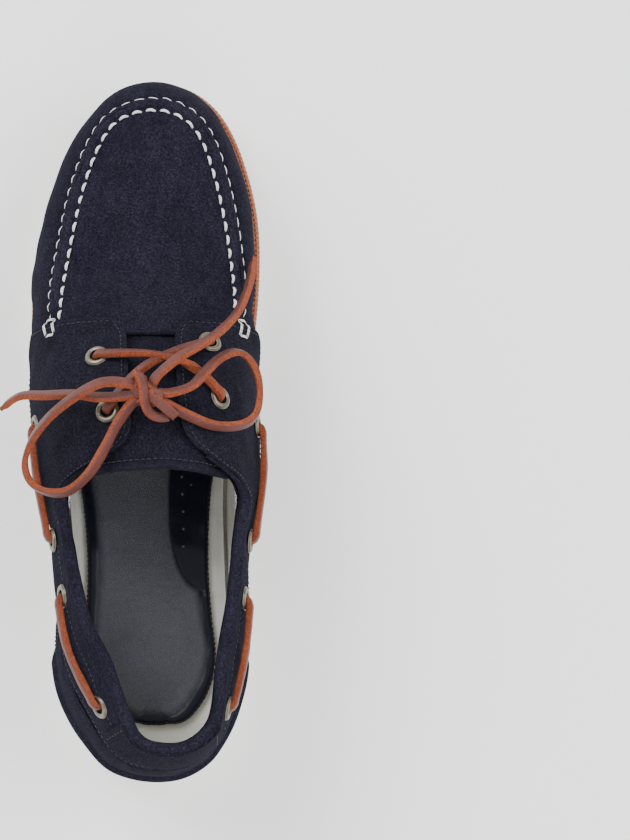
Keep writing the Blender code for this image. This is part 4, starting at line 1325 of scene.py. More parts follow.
class SHOE_OT_footbed(bpy.types.Operator):
    """Leather-topped sock with a rolled rim and an arch pad, on a grey lining that shows round
    it as far as the wall."""

    bl_idname = "shoe.footbed"
    bl_label = "Footbed"

    def execute(self, context):
        around = circle(480)[:, None]
        margin = by_side(SOCK_MARGIN, "{}", around)
        reach_x, reach_y = outline(around, SOCK_EDGE)
        spine = y_at(through(SECTIONS, "spine", share_of(around)))
        reach = np.hypot(reach_x, reach_y - spine)
        near = np.concatenate([[0.0, 0.0002, 0.0005, 0.0009], np.linspace(0.0014, 0.0120, 26)])
        left = np.maximum(reach * 0.992 - margin - near[-1], 0.001)
        inset = np.concatenate(
            [
                margin * np.linspace(0, 0.999, 9),
                margin + near,
                margin + near[-1] + left * np.linspace(0, 1, 42)[1:],
            ],
            axis=1,
        )
        x, y = outline(around, SOCK_EDGE + inset)
        top = np.stack([x, y, sock_height(x, y, inset, margin)], axis=-1)
        skirt = top[:, :1].copy()
        skirt[..., 2] = seat_height(share_at(y[:, :1]))
        rings = np.concatenate([skirt, top], axis=1)
        grey = colour("footbed")
        # Colour for the arch pad's own darker leather and for the painted shade round the rim.
        pad_and_shaded_rim_colour = tuple(c * k for c, k in zip(grey, (0.075, 0.085, 0.14)))
        leather = grain_leather(
            "sock_leather", grey, shade(grey, 1.45), 0.46, 1500.0, 0.00030, 0.0, pad_and_shaded_rim_colour, 0.14
        )
        wear = 0.22 * bump_at(rings[..., 1], 0.012, 0.030) * bump_at(rings[..., 0], 0.003, 0.018)
        # Painted shade: a dark band round the sock's rim, fading out between 4 and 8 mm in; with
        # the sock's pale colour it stands in for the sheen.
        border = 1 - ease((inset - margin - 0.0036) / 0.0048)
        glaze = np.maximum(arch_pad_share(x, y), border)
        glaze = np.concatenate([glaze[:, :1], glaze], axis=1)
        slots = [0] * (rings.shape[1] + 1)
        slots[1:10] = [1] * 9
        values = {"wear": wear, "glaze": glaze}
        piece = slab("sock", rings, slots, [leather, lining_finish()], values)
        settle(piece, "navy_leather", "footbed")
        self.pinholes()
        self.rim_stitches()
        return {"FINISHED"}

    def pinholes(self):
        """Dark pits in three columns on the arch pad, the middle one half a step on."""
        rows, columns = np.meshgrid(np.arange(8), np.arange(3), indexing="ij")
        y = y_at(PINHOLE_START[1]) + PINHOLE_PITCH[1] * (rows + 0.5 * (columns != 1))
        x = PINHOLE_START[0] + columns * PINHOLE_PITCH[0] + 0.0008 * bump_at(rows, 1, 2)
        z = sock_height(x, y, np.full_like(x, 0.030), 0.004) + 0.00008
        centres = np.stack([x, y, z], axis=-1).reshape(-1, 3)
        turn = circle(8)
        ring = np.stack([np.cos(turn), np.sin(turn), np.zeros(8)], axis=-1)
        outer = centres[:, None] + ring * 0.00062 + np.array([0, 0, 0.0001])
        low = centres[:, None] + ring * 0.00040 - np.array([0, 0, 0.0004])
        points = np.concatenate([outer, low], axis=1)
        i = np.arange(8)
        band = np.stack([i, (i + 1) % 8, (i + 1) % 8 + 8, i + 8], axis=-1)
        caps = np.array([[8, 9, 10, 11], [8, 11, 12, 15], [12, 13, 14, 15]])
        lids = np.array([[3, 2, 1, 0], [7, 4, 3, 0], [7, 6, 5, 4]])
        faces = repeated(np.concatenate([band, caps, lids]), 16, len(centres))
        dark, _, _ = new_finish("pinhole_dust", (0.075, 0.080, 0.095), 0.9)
        pits = build_mesh("sock_pinholes", points, faces, [dark], outwards=True)
        settle(pits, "navy_leather")

    def rim_stitches(self):
        """Overlock thread wound round the sock's edge, round the heel and the waist."""
        around = np.linspace(station(0.50), -station(0.46), 700)
        margin = by_side(SOCK_MARGIN, "{}", around)
        at = margin + 0.0003
        x, y = outline(around, SOCK_EDGE + at)
        path = np.stack([x, y, sock_height(x, y, at, margin) + 0.0001], axis=-1)
        inner_x, inner_y = outline(around, SOCK_EDGE + at + 0.001)
        outward = unit(np.stack([x - inner_x, y - inner_y, np.full_like(x, 0.0006)], axis=-1))
        row = stitch_points(path, outward, 0.0021, FINE_LENGTH, sizes().fine_thread, 0.7, slant=0.5)
        stitches("sock_rim_stitches", [row], navy_thread(), "navy_leather")


# Upper


DRAWN_IN = 0.0016


def drawn_in(around, up):
    """How far the forefoot's medial wall is drawn in off the welt: a hill up the wall, from the
    flap to the toe, that fades out towards the lateral side."""
    x, _ = outline(around)
    seam = seam_angle(around)
    forward = ease((share_of(around) - 0.60) / 0.07) * ease((x + 0.004) / 0.038)
    return DRAWN_IN * forward * ease(up / 0.14) * (1 - ease((up / seam - 0.50) / 0.38))


class SHOE_OT_upper(bpy.types.Operator):
    """Moccasin body: the wall round the foot and the plug, each a sheet on the last whose lift
    is the seam's relief, the folds and the hide's unevenness; grey lining inside."""

    bl_idname = "shoe.upper"
    bl_label = "Moccasin body"

    def execute(self, context):
        finishes = [suede_finish(), lining_finish(), suede_finish()]
        front_start = station(0.57)
        front = np.linspace(front_start, TURN - front_start, 380)
        back = np.linspace(front[-1], front[0] + TURN, 160)[1:-1]
        around = np.concatenate([front, back]) % (TURN)
        shares = np.concatenate([np.linspace(0, 0.85, 26), np.linspace(0.868, 1, 15)])
        turn, up = patch(around, 0.0, base_angle(around), shares)
        folds, drawn = fold_lift(turn, up), drawn_in(turn, up)
        lift = seam_relief(turn, up) + folds
        lift = lift + ripples(turn, up, 5, depth=0.00022) - 0.0009 * (1 - ease(up / 0.12)) - drawn
        # Paler on the seam's ridge and the folds' ridges as painted highlight with rubbed nap, and
        # paler low on the wall as wear.
        wear = seam_ridge_rub_and_highlight(turn, up) + 0.20 * np.clip(folds / 0.001, 0, 1)
        wear = wear + 0.22 * bump_at(up, 0.06, 0.05)
        outer = last(turn, up, lift)
        inner = last(turn, up, -UPPER_WALL - drawn * 0.8)
        closed_sheet("moccasin_wall", outer, inner, finishes, wear, "upper", wrap=True)

        start = station(0.593)
        around = np.linspace(start, TURN - start, 361)
        shares = np.concatenate([np.linspace(0, 0.14, 12), np.linspace(0.17, 1, 34)])
        turn, up = patch(around, seam_angle(around), math.pi / 2, shares)
        folds, middle = fold_lift(turn, up), 1 - ease((up - math.pi / 2 + 0.25) / 0.25)
        lift = seam_relief(turn, up) + (folds + ripples(turn, up, 8)) * middle
        # Paler on the seam's ridge and the folds' ridges: painted highlight with rubbed nap.
        wear = seam_ridge_rub_and_highlight(turn, up) + 0.15 * np.clip(folds / 0.001, 0, 1)
        outer, inner = last(turn, up, lift), last(turn, up, -UPPER_WALL)
        closed_sheet("moccasin_plug", outer, inner, finishes, wear, weld=2e-6, welded_top=True)
        return {"FINISHED"}


def seam_line(off, lift):
    """A line beside the seam at a distance over the surface, positive on the plug."""
    seam = seam_angle(SEAM_AROUND)
    up = seam + off / rate_up(SEAM_AROUND, seam)
    return surface_path(SEAM_AROUND, up, seam_relief(SEAM_AROUND, up) + lift)


class SHOE_OT_seam_stitching(bpy.types.Operator):
    """White hand stitches: bold dashes on the plug's side of the ridge, thin curved ones over
    its outer side, and a box of stitches where the seam runs under each flap."""

    bl_idname = "shoe.seam_stitching"
    bl_label = "Moccasin seam stitches"

    def execute(self, context):
        bold, pitch = sizes().bold_thread, SEAM_PITCH * 0.98
        path, up = seam_line(0.0031, 0.0003)
        row = stitch_points(path, up, pitch, 0.0043, bold, 0.3, slant=0.08)
        stitches("seam_stitches_inner", [row], white_thread())
        path, up = seam_line(-0.0021, 0.0001)
        row = stitch_points(path, up, pitch, 0.0044, bold * 0.31, 1.7, slant=0.12, phase=0.2)
        stitches("seam_stitches_outer", [row], white_thread())
        self.boxes(bold * 0.42)
        return {"FINISHED"}

    def boxes(self, radius):
        """Rectangles of two strands, about 5 by 8 mm, over the flap's front edge."""
        groups = []
        step = 1e-3
        corners = [(-0.0042, -0.0028), (0.0042, -0.0022), (0.0042, 0.0026), (-0.0042, 0.0022)]
        corners = np.array(corners)
        u = np.linspace(0, 1, 12)[:, None]
        for side in (-1, 1):
            centre = np.array(station(FLAP_FRONT - 0.006, side))
            seam = seam_angle(centre)
            rate = rate_up(centre, seam)
            ahead = bare_last(centre + step, seam) - bare_last(centre - step, seam)
            pace = np.linalg.norm(ahead) / (2 * step)
            for first, second in zip(corners, np.roll(corners, -1, axis=0)):
                for shift in (0.0, 0.0009):
                    line = first * (1 - u) + second * u + shift * np.array([0.6, -0.8])
                    turn = centre + side * line[:, 0] / pace
                    up = seam + line[:, 1] / rate
                    face = np.where(share_of(turn) < FLAP_FRONT, OVERLAY_FACE, 0.0009)
                    path, normal = surface_path(turn, up, face + 0.00015)
                    length = arc_lengths(path)[-1]
                    row = stitch_points(path, normal, length * 0.98, length * 0.93, radius, 0.8)
                    groups.append(row)
        stitches("seam_box_stitches", groups, white_thread())


# Overlay


def overlay_around(count):
    end = station(FLAP_FRONT)
    edge = end - np.array([0.0, 0.004, 0.009, 0.016, 0.025, 0.036, 0.05])
    middle = np.linspace(end - 0.065, -end + 0.065, count)
    return np.concatenate([edge, middle, -edge[::-1]])


def overlay_relief(around, up):
    """The folds, softened by the second layer, and the hide's unevenness."""
    return 0.6 * fold_lift(around, up) + ripples(around, up, 21, 0.018, 0.0003)


class SHOE_OT_overlay(bpy.types.Operator):
    """Collar with its two throat flaps: one wall with skived, rounded edges and fine stitches."""

    bl_idname = "shoe.overlay"
    bl_label = "Collar and flaps"

    def execute(self, context):
        around = overlay_around(420)
        low, high = overlay_low_angle(around), overlay_high_angle(around)
        edge = [0, 0.008, 0.02, 0.04]
        steps = np.concatenate([edge, np.linspace(0.07, 0.93, 40), [0.96, 0.98, 0.992, 1]])
        turn, up = patch(around, low, high, steps)
        rate = rate_up(turn, up)
        from_low = (up - low[:, None]) * rate
        from_high = (high[:, None] - up) * rate
        from_front = (FLAP_FRONT - share_of(turn)) * SOLE_LENGTH
        from_edge = np.minimum(np.minimum(from_low, from_high), np.maximum(from_front, 0))
        skive = thinned(from_edge, 0.0007, 0.0012)
        groove = 0.00035 * bump_at(from_edge, EDGE_INSET, 0.0007)
        lift = OVERLAY_FACE - skive - groove + overlay_relief(turn, up)
        wear = 0.55 * np.exp(-np.maximum(from_edge, 0) / 0.0009)
        wear = wear + 0.12 * bump_at(from_edge, 0.004, 0.001)
        finishes = [flap_finish(), suede_finish(), flap_finish(), suede_finish()]
        outer, inner = last(turn, up, lift), last(turn, up, OVERLAY_GAP)
        piece = closed_sheet("collar_and_flaps", outer, inner, finishes, wear, "collar_overlay")
        self.paint_collar(piece, turn)
        self.fine_stitches()
        self.collar_roll()
        return {"FINISHED"}

    def paint_collar(self, piece, turn):
        """The collar behind the flaps is napped suede, and the flaps are the darker hide."""
        share = share_of(turn[:-1, :-1]).ravel()
        slots = np.zeros(len(piece.data.polygons), dtype=np.int32)
        piece.data.polygons.foreach_get("material_index", slots)
        slots[: len(share)] = np.where(share < COLLAR_SUEDE_END, 3, 0)
        piece.data.polygons.foreach_set("material_index", slots)

    def fine_stitches(self):
        around = overlay_around(700)
        low, high = overlay_low_angle(around), overlay_high_angle(around)
        inset = EDGE_INSET
        inner = FLAP_FRONT - inset / SOLE_LENGTH
        keep = share_of(around) <= inner
        turn = around[keep]
        groups = [self.run(turn, low[keep] + inset / rate_up(turn, low[keep]))]
        for side in (-1, 1):
            same_side = np.where(is_medial(around), 1, -1) == side
            chosen = keep & same_side & (share_of(around) > 0.30)
            turn = around[chosen]
            groups.append(self.run(turn, high[chosen] - inset / rate_up(turn, high[chosen])))
            end = station(inner, side) - (TURN if side > 0 else 0)
            start_up = float(overlay_low_angle(np.array(end))) + inset / 0.05
            stop_up = float(overlay_high_angle(np.array(end))) - inset / 0.05
            groups.append(self.run(np.full(200, end), np.linspace(start_up, stop_up, 200)))
        turn = around[share_of(around) < 0.325]
        groups.append(self.run(turn, collar_angle(turn, 0.0085)))
        stitches("overlay_stitches", groups, navy_thread())

    def run(self, turn, up):
        lift = OVERLAY_FACE + overlay_relief(turn, up) - 0.00018
        return fine_row(*surface_path(turn, up, lift), 0.00165)

    def collar_roll(self):
        """Soft rolled top of the collar: an oval carried round the heel from flap to flap, its
        oval shrinking where it dives under the flaps."""
        around = round_heel(COLLAR_ROLL_END, 460)
        middle = (OVERLAY_FACE - UPPER_WALL) / 2
        up = top_angle(around, 0.0006)
        path = last(around, up, middle)
        outward = last_normal(around, up)
        ahead = unit(np.gradient(path, axis=0))
        upward = unit(np.cross(ahead, outward))
        upward = upward * np.sign(upward[:, 2:])
        side = unit(np.cross(upward, ahead))
        half = (OVERLAY_FACE + UPPER_WALL) / 2 + 0.0004
        turn = np.linspace(0, TURN, 20, endpoint=False)
        near_end = np.minimum(np.arange(460), np.arange(460)[::-1]) / 459
        taper = 0.35 + 0.65 * ease(near_end / 0.05)
        size = (taper * (1 + 0.05 * np.sin(arc_lengths(path) * TURN / 0.031)))[:, None]
        across, over = np.cos(turn) * half * size, np.sin(turn) * COLLAR_ROLL_HALF * size
        wear = {"wear": np.tile(0.35 * np.clip(np.sin(turn), 0, 1) ** 2, 460)}
        piece = tube("collar_roll", path, side, upward, across, over, suede_finish(), wear)
        settle(piece, "navy_suede")


class SHOE_OT_lining(bpy.types.Operator):
    """Inside of the collar: a suede cuff under the roll, whipped to the grey lining below."""

    bl_idname = "shoe.lining"
    bl_label = "Collar cuff and lining"

    def execute(self, context):
        around = round_heel(COLLAR_SOFT_END, 360)
        high = top_angle(around, 0.0010)
        low = collar_angle(around, CUFF_DEPTH)
        steps = np.linspace(0, 1, 16)
        turn, up = patch(around, low, high, steps)
        puff = 0.0007 * np.sin(steps * math.pi)[None, :]
        lift = -UPPER_WALL - 0.0007 - puff + 0.3 * ripples(turn, up, 33)
        outer = last(turn, up, -UPPER_WALL - 0.0001)
        inner = last(turn, up, lift)
        wear = np.broadcast_to(0.25 * bump_at(steps, 0.0, 0.06)[None, :], up.shape)
        closed_sheet("collar_cuff", outer, inner, [flap_finish()] * 2, wear)
        line = low + 0.0008 / 0.05
        path = last(around, line, -UPPER_WALL - 0.0011)
        inward = -last_normal(around, line)
        groups = [
            stitch_points(path, inward, CUFF_PITCH, 0.0028, CUFF_THREAD, 0.8, slant=slant)
            for slant in (0.55, -0.55)
        ]
        stitches("collar_cuff_stitches", groups, white_thread())
        return {"FINISHED"}


# Heel


class SHOE_OT_heel(bpy.types.Operator):
    """Heel counter with its kicker ledge, and the tab at the collar's back."""

    bl_idname = "shoe.heel"
    bl_label = "Heel counter and tab"

    def execute(self, context):
        around = round_heel(COUNTER_HEAD, 220)
        share = share_of(around)
        top = overlay_low_angle(around) - 0.0006 / 0.040
        slant = np.clip((COUNTER_HEAD - share) / (COUNTER_HEAD - COUNTER_FOOT), 0, 1)
        low = top * (1 - slant) * 0.97
        turn, up = patch(around, low, top, np.linspace(0, 1, 56))
        height = bare_last(turn, up)[..., 2] - feather_height(turn)
        reach = ease((0.180 - share) / 0.03)[:, None]
        rising = ease((height - 0.004) / 0.021) ** 1.6
        ledge = np.where(height < 0.025, rising, 1 - ease((height - 0.0252) / 0.0026))
        rate = rate_up(turn, up)
        from_edge = np.minimum((up - low[:, None]) * rate, (top[:, None] - up) * rate)
        from_edge = np.minimum(from_edge, (COUNTER_HEAD - share[:, None]) * SOLE_LENGTH * 0.8)
        skive = thinned(from_edge, 0.0006, 0.0010)
        lift = OVERLAY_GAP + COUNTER_WALL - skive + KICKER * ledge * reach
        lift = lift + 0.5 * ripples(turn, up, 40)
        wear = 0.5 * np.exp(-np.maximum(from_edge, 0) / 0.0008)
        wear = wear + 0.55 * bump_at(height, 0.0248, 0.0016) * reach
        outer, inner = last(turn, up, lift), last(turn, up, OVERLAY_GAP - 0.0004)
        closed_sheet("counter", outer, inner, [suede_finish()] * 2, wear, "heel_counter")
        self.double_rows()
        self.tab()
        return {"FINISHED"}

    def double_rows(self):
        """Two rows of stitches inside the counter's slanted front edge, on either side."""
        groups = []
        shares = np.linspace(COUNTER_FOOT - 0.002, COUNTER_HEAD - 0.014, 160)
        for side in (-1, 1):
            turn = around_of(shares, side)
            turn = np.where(turn > math.pi, turn - TURN, turn)
            for inset in (0.0022, 0.0040):
                ahead = shares + inset / SOLE_LENGTH - COUNTER_FOOT
                rise = np.clip(ahead / (COUNTER_HEAD - COUNTER_FOOT), 0, 0.985)
                line = overlay_low_angle(turn) * rise * 0.97 + inset * 0.55 / 0.04
                lift = OVERLAY_GAP + COUNTER_WALL + 0.0001
                groups.append(fine_row(*surface_path(turn, line, lift)))
        stitches("counter_stitches", groups, navy_thread())

    def tab(self):
        """A folded strip over the collar's back, stitched down both sides."""
        around = np.linspace(TAB_HALF, -TAB_HALF, 80)
        low, high = self.tab_edges(around)
        turn, up = patch(around, low, high, np.linspace(0, 1, 30))
        side = (1 - np.abs(turn) / TAB_HALF) * TAB_HALF * 0.045
        from_edge = np.minimum(side, (up - low[:, None]) * rate_up(turn, up))
        skive = thinned(from_edge, 0.0006, 0.0011)
        lift = OVERLAY_FACE + GAP + 0.0011 - skive + 0.4 * ripples(turn, up, 52)
        wear = 0.5 * np.exp(-from_edge / 0.0009)
        outer, inner = last(turn, up, lift), last(turn, up, OVERLAY_FACE - 0.0002)
        closed_sheet("collar_tab", outer, inner, [flap_finish()] * 2, wear, "heel_tab")
        groups = []
        for edge in (TAB_HALF - 0.05, -TAB_HALF + 0.05):
            turn = np.full(60, edge)
            low, high = self.tab_edges(turn)
            up = low + (high - low) * np.linspace(0.06, 0.97, 60)
            groups.append(fine_row(*surface_path(turn, up, OVERLAY_FACE + GAP + 0.0010)))
        stitches("collar_tab_stitches", groups, navy_thread())

    def tab_edges(self, around):
        low, high = overlay_low_angle(around), top_angle(around)
        return low + (high - low) * TAB_LOW, high


# Tongue


def tongue_stations(share, across):
    """Stations of the tongue at a share of the length and at -1 to 1 across it, and how far under
    the last it lies: tucked at its sides and front, up in the middle."""
    around = around_of(share, np.where(across < 0, -1, 1))
    up = math.pi / 2 - np.abs(across) * (math.pi / 2 - TONGUE_SIDE)
    tucked_by = UPPER_WALL + 2 * GAP
    middle = ease((0.80 - np.abs(across)) / 0.35)
    back = ease((0.605 - share) / 0.03)
    return around, up, -tucked_by + (tucked_by - 0.0010) * middle * back


class SHOE_OT_tongue(bpy.types.Operator):
    """Soft tongue under the laces: rippled across, its rear edge turned and stitched."""

    bl_idname = "shoe.tongue"
    bl_label = "Tongue"

    def execute(self, context):
        shares = np.linspace(TONGUE_FRONT, TONGUE_REAR, 90)
        share, across = np.meshgrid(shares, np.linspace(-1, 1, 121), indexing="ij")
        around, up, base = tongue_stations(share, across)
        place = bare_last(around, up)
        swell = 0.0005 * np.sin(place[..., 1] * TURN / 0.017 + 8 * place[..., 0] / 0.03)
        swell = swell * (1 - across**2) * ease((share - 0.46) / 0.05)
        from_rear = (share - TONGUE_REAR) * SOLE_LENGTH
        hem = 0.0005 * bump_at(from_rear, 0.0012, 0.0016)
        groove = 0.0004 * bump_at(from_rear, 0.0036, 0.0008)
        outer = last(around, up, base + swell * 0.6 - 0.0002 + hem - groove)
        inner = last(around, up, base - 0.0022)
        wear = 0.45 * np.exp(-from_rear / 0.0016)
        finishes = [flap_finish(), lining_finish(), flap_finish()]
        closed_sheet("tongue_leather", outer, inner, finishes, wear, "tongue")
        across = np.linspace(-0.93, 0.93, 300)
        share = np.full(300, TONGUE_REAR + 0.0036 / SOLE_LENGTH)
        row = fine_row(*surface_path(*tongue_stations(share, across)))
        stitches("tongue_stitches", [row], navy_thread())
        return {"FINISHED"}


# Eyelets and lace


def local_frame(around, up):
    """The overlay's face at a station: point, normal, direction up the section, and sideways."""
    around, up = np.array(float(around)), np.array(float(up))
    normal = last_normal(around, up)
    forward = bare_last(around, up + 1e-3) - bare_last(around, up - 1e-3)
    forward = unit(forward - normal * np.dot(forward, normal))
    return last(around, up, OVERLAY_FACE), normal, forward, np.cross(normal, forward)


def eyelet_frames():
    """Every eyelet's node name and local frame."""
    found = {}
    for side, word in ((-1, "lateral"), (1, "medial")):
        for eyelet in SIDE_EYELETS:
            around = station(eyelet.share, side)
            up = float(angle_at_height(np.array(around), HEEL_HEIGHT * eyelet.height))
            found[f"eyelet_{word}_{eyelet.name}"] = local_frame(around, up)
    for eyelet in THROAT_EYELETS:
        around = station(eyelet.share, eyelet.side)
        found[eyelet.name] = local_frame(around, math.radians(eyelet.degrees))
    return found


class SHOE_OT_eyelets(bpy.types.Operator):
    """Rolled eyelets: a turned profile of barrel, rounded lip and flange, dished and dirty
    towards the leather."""

    bl_idname = "shoe.eyelets"
    bl_label = "Eyelets"

    def execute(self, context):
        metal = aged_metal("aged_eyelet_metal", colour("metal"), (0.20, 0.17, 0.12))
        hole, flange, proud = EYELET_HOLE, EYELET_FLANGE, EYELET_PROUD
        lip = np.linspace(0, math.pi, 9)
        out, over = 0.0010 - np.cos(lip) * 0.0010, proud * 0.45 + np.sin(lip) * proud * 0.65
        roll = np.stack([hole + out, GAP + over], axis=-1)
        profile = np.concatenate(
            [
                [(hole + 0.0005, -0.0032), (hole, -0.0032), (hole, -0.0010)],
                roll,
                [
                    (hole + 0.00205, GAP + proud * 0.36), (flange - 0.0010, GAP + proud * 0.50),
                    (flange - 0.0003, GAP + proud * 0.32), (flange, GAP + proud * 0.05),
                    (flange - 0.0001, -0.0003), (hole + 0.0005, -0.0003),
                ],
            ]
        )
        soiled_at = [0, 2, 4, 8, 12, 14, 15, len(profile) - 1]
        soil = np.interp(np.arange(len(profile)), soiled_at, [1, 1, 0.25, 0, 0.75, 0.05, 0.3, 1])
        soil = np.append(soil, soil[0])
        segments = 40
        turn = circle(segments)
        for name, (point, normal, forward, sideways) in eyelet_frames().items():
            spoke = forward[None] * np.cos(turn)[:, None] + sideways[None] * np.sin(turn)[:, None]
            rings = point + spoke[:, None] * profile[:, :1] + normal * profile[:, 1:]
            closed = np.concatenate([rings, rings[:, :1]], axis=1)
            faces = grid_quads(segments, len(profile) + 1, wrap=True)
            piece = build_mesh(
                f"{name}_metal", closed, faces, [metal], 0, {"soil": np.tile(soil, segments)},
                weld=1e-6, outwards=True,
            )
            settle(piece, "aged_metal", name)
        return {"FINISHED"}


def in_face(direction, normal):
    return unit(direction - normal * np.dot(direction, normal))


def bar_route(first, second, lift, sway):
    """From one eyelet to the next: up out of the hole, over in a Hermite arc, and down again."""
    (point_a, normal_a, _, _), (point_b, normal_b, _, _) = first, second
    high = GAP * 2 + EYELET_PROUD + 0.0010
    run = point_b - point_a
    pull = np.linalg.norm(run)
    leave, arrive = in_face(run, normal_a), in_face(run, normal_b)
    ends = ((-0.0004, -0.0024), (0.0, -0.0004), (0.0006, high * 0.62), (0.0028, high))
    points = [point_a + leave * along + normal_a * up for along, up in ends]
    start = point_a + leave * 0.0050 + normal_a * high
    stop = point_b - arrive * 0.0050 + normal_b * high
    u = np.linspace(0, 1, 11)[:, None]
    arc = (
        start * (1 + 2 * u) * (1 - u) ** 2
        + stop * (3 - 2 * u) * u**2
        + pull * (leave * u * (1 - u) ** 2 - arrive * u**2 * (1 - u))
    )
    middle = unit(normal_a + normal_b)
    bow = np.sin(u * math.pi)
    points.extend(arc + middle * (lift * bow) + np.cross(unit(run), middle) * (sway * bow))
    points.extend(point_b - arrive * along + normal_b * up for along, up in reversed(ends))
    return smooth_route(points, 0.0009), normal_a


class SHOE_OT_laces(bpy.types.Operator):
    """The collar lace between side eyelets and the two straps that cross over the tongue."""

    bl_idname = "shoe.laces"
    bl_label = "Laces"

    def execute(self, context):
        frames = eyelet_frames()
        width, thickness = sizes().lace_width * 0.95, sizes().lace_thickness
        seed = 3
        for word in ("lateral", "medial"):
            for first, second, label in (("a", "b", "front"), ("c", "d", "rear")):
                ends = (frames[f"eyelet_{word}_{key}"] for key in (first, second))
                route, up = bar_route(*ends, 0.0004, 0.0006)
                seed += 1
                names = f"collar_lace_{word}_{label}", f"lace_bar_{word}_{label}"
                lace_strap(*names, route, up, 0.0, width, thickness, seed)
        for first, second, lift, sway, lean, label in (
            ("medial_front", "lateral_rear", 0.0006, 0.0022, -0.70, "lower"),
            ("lateral_front", "medial_rear", 0.0012, -0.0018, 0.70, "upper"),
        ):
            ends = (frames[f"eyelet_throat_{key}"] for key in (first, second))
            route, up = bar_route(*ends, lift, sway)
            along = np.linspace(0, 1, len(route))
            twist = math.pi * ease((along - 0.55) / 0.3) * (label == "upper")
            twist = twist + lean * np.sin(math.pi * along)
            names = f"throat_lace_{label}", "lace_crossing"
            lace_strap(*names, route, up, twist, width, thickness, seed + 7)
        return {"FINISHED"}


Run = namedtuple("Run", "name node table loop start turns far_end seed")
RUNS = (
    Run("bow_lateral_loop", "lace_loop_lateral", LATERAL_LOOP, True, -0.22, -0.20, "object", 21),
    Run("bow_medial_loop", "lace_loop_medial", MEDIAL_LOOP, True, -0.24, -0.10, "object", 22),
    Run("bow_toe_end", "lace_end_toe", TOE_END, False, 0.22, 0.34, "bare", 23),
    Run("bow_side_end", "lace_end_side", SIDE_END, False, -0.22, -0.06, "bare", 24),
)


class SHOE_OT_bow(bpy.types.Operator):
    """The bow: two loops and two ends as one lace each, and the wraps of its knot."""

    bl_idname = "shoe.bow"
    bl_label = "Bow"

    def execute(self, context):
        width, thickness = sizes().lace_width, sizes().lace_thickness
        for run in RUNS:
            route = cord_route(run.table, run.loop)
            twist = math.pi * (run.start + run.turns * ease(np.linspace(0, 1, len(route))))
            piece = lace_strap(
                run.name, run.node, route, (0, 0, 1), twist, width, thickness, run.seed,
                nib=0.0 if run.loop else 0.004,
            )
        self.knot(width, thickness)
        return {"FINISHED"}

    def knot(self, width, thickness):
        """Two straps laid over a core of two turns, each turn an ellipse carried round a tilted
        axis."""
        centre = knot_centre()
        half = np.array(KNOT_SIZE) / 2
        for name, table, start, lean, seed in (
            ("knot_wrap_over", WRAP_OVER, (0, 0.8, 0.6), 0.50, 31),
            ("knot_wrap_under", WRAP_UNDER, (0, 0, 1), -0.35, 34),
        ):
            route = smooth_route(centre + np.array(table), 0.0006)
            lace_strap(name, "lace_knot", route, start, lean, width, thickness * 0.85, seed)
        u = np.linspace(0, TURN, 90, endpoint=False)
        shape = np.broadcast_to(strap_profile(width * 1.05, thickness), (90, len(STRAP_SIDE), 2))
        sides = {"side": np.tile(STRAP_SIDE, 90)}
        for name, degrees, size, phase in (
            ("knot_wrap_lower", -42.0, 0.80, 32), ("knot_core", 92.0, 0.66, 33),
        ):
            lean = math.radians(degrees)
            across = np.array([math.cos(lean), math.sin(lean), 0.0])
            along = np.array([-math.sin(lean), math.cos(lean), 0.0])
            reach = np.hypot(half[0] * across[0], half[1] * across[1]) * size
            path = (
                centre
                + across * (np.cos(u) * (reach - 0.001))[:, None]
                + np.array([0, 0, 1.0]) * (np.sin(u) * (half[2] - 0.0012) * size)[:, None]
                + along * (0.0026 * np.sin(2 * u + phase))[:, None]
            )
            outward = unit(path - centre)
            ahead = unit(np.roll(path, -1, axis=0) - np.roll(path, 1, axis=0))
            up = unit(outward - ahead * np.sum(outward * ahead, axis=1, keepdims=True))
            section = shape[..., 0], shape[..., 1]
            piece = tube(
                name, path, np.cross(ahead, up), up, *section, lace_finish(), sides, closed=True
            )
            settle(piece, "lace_leather", "lace_knot")


# Stage

Light = namedtuple("Light", "name place size watts")
LIGHTS = (
    Light("key", (-0.75, 0.85, 1.15), 0.9, 22.0),
    Light("fill", (0.95, 0.20, 1.05), 1.0, 12.0),
    Light("back", (0.15, -0.95, 1.05), 1.1, 10.0),
)


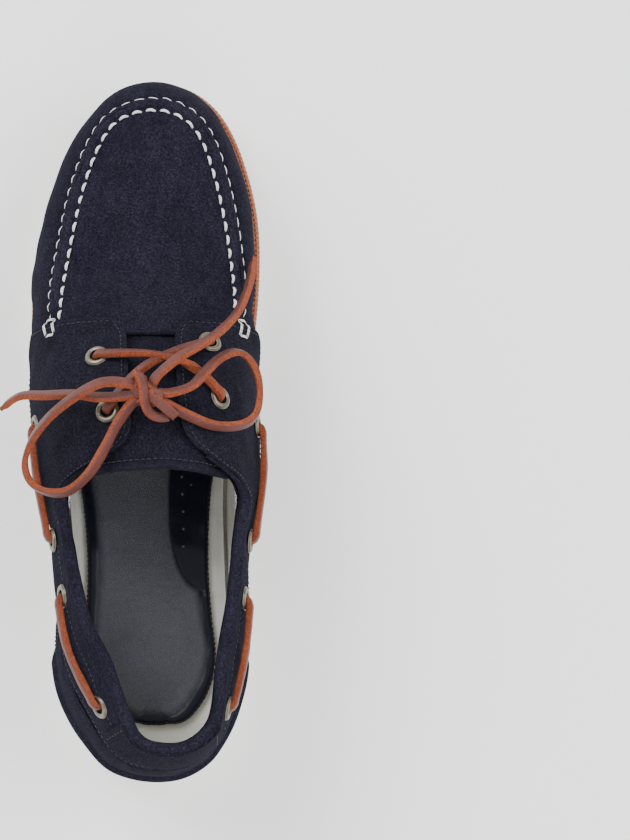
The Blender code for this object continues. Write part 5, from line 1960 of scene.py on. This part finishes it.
class SHOE_OT_studio(bpy.types.Operator):
    """Pale floor, broad soft lights and the camera over the shoe."""

    bl_idname = "shoe.studio"
    bl_label = "Floor, lights and camera"

    def execute(self, context):
        self.floor()
        self.camera()
        self.lights()
        return {"FINISHED"}

    def floor(self):
        corners = FLOOR_REACH * np.array([(-1, -1, 0), (1, -1, 0), (1, 1, 0), (-1, 1, 0)])
        paper, _, _ = new_finish("studio_floor", (0.96, 0.96, 0.96), 0.9, specular=0.1)
        build_mesh("studio_floor", corners, [[0, 1, 2, 3]], [paper])

    def camera(self):
        lens_data = bpy.data.cameras.new("photo_camera")
        camera = bpy.data.objects.new("photo_camera", lens_data)
        bpy.context.scene.collection.objects.link(camera)
        distance = sizes().camera_height
        elevation = sizes().camera_elevation
        away = np.array([0, -math.cos(elevation), math.sin(elevation)])
        camera.location = np.array(CAMERA_TARGET) + away * distance
        camera.rotation_euler = (math.pi / 2 - elevation, 0, 0)
        lens_data.sensor_fit = "VERTICAL"
        lens_data.sensor_height = 36.0
        lens_data.lens = 36.0 * distance / FRAME_HEIGHT
        lens_data.shift_x = FRAME_SHIFT
        lens_data.clip_start = 0.05
        bpy.context.scene.camera = camera

    def lights(self):
        world = bpy.data.worlds.new("studio_world")
        world.use_nodes = True
        sky = world.node_tree.nodes["Background"]
        sky.inputs["Color"].default_value = (1, 1, 1, 1)
        sky.inputs["Strength"].default_value = SKY_STRENGTH
        bpy.context.scene.world = world
        for source in LIGHTS:
            light = bpy.data.lights.new(source.name, "AREA")
            light.size = source.size
            light.energy = source.watts
            lamp = bpy.data.objects.new(source.name, light)
            lamp.location = source.place
            aim = np.array(LIGHT_AIM) - np.array(source.place)
            lamp.rotation_euler = Vector(aim).to_track_quat("-Z", "Y").to_euler()
            bpy.context.scene.collection.objects.link(lamp)


PIECES = (
    SHOE_OT_studio,
    SHOE_OT_bow,
    SHOE_OT_laces,
    SHOE_OT_eyelets,
    SHOE_OT_upper,
    SHOE_OT_seam_stitching,
    SHOE_OT_overlay,
    SHOE_OT_lining,
    SHOE_OT_heel,
    SHOE_OT_tongue,
    SHOE_OT_footbed,
    SHOE_OT_midsole,
    SHOE_OT_outsole,
)


class SHOE_PT_panel(bpy.types.Panel):
    """Lists the shoe's pieces in the sidebar."""

    bl_idname = "SHOE_PT_panel"
    bl_label = "Boat shoe"
    bl_space_type = "VIEW_3D"
    bl_region_type = "UI"
    bl_category = "Shoe"

    def draw(self, context):
        for group in (context.scene.shoe_sizes, context.scene.shoe_colours):
            box = self.layout.box()
            for key in group.__annotations__:
                box.prop(group, key)
        for piece in PIECES:
            self.layout.operator(piece.bl_idname)


CLASSES = (ShoeSizes, ShoeColours, *PIECES, SHOE_PT_panel)


def register():
    for cls in CLASSES:
        bpy.utils.register_class(cls)
    bpy.types.Scene.shoe_sizes = bpy.props.PointerProperty(type=ShoeSizes)
    bpy.types.Scene.shoe_colours = bpy.props.PointerProperty(type=ShoeColours)


def unregister():
    del bpy.types.Scene.shoe_colours
    del bpy.types.Scene.shoe_sizes
    for cls in reversed(CLASSES):
        bpy.utils.unregister_class(cls)


def main():
    register()
    for piece in PIECES:
        call = getattr(bpy.ops.shoe, piece.bl_idname.split(".")[1])
        if call() != {"FINISHED"}:
            raise RuntimeError(f"{piece.bl_idname} did not finish")
    bpy.context.view_layer.update()


if __name__ == "__main__":
    main()
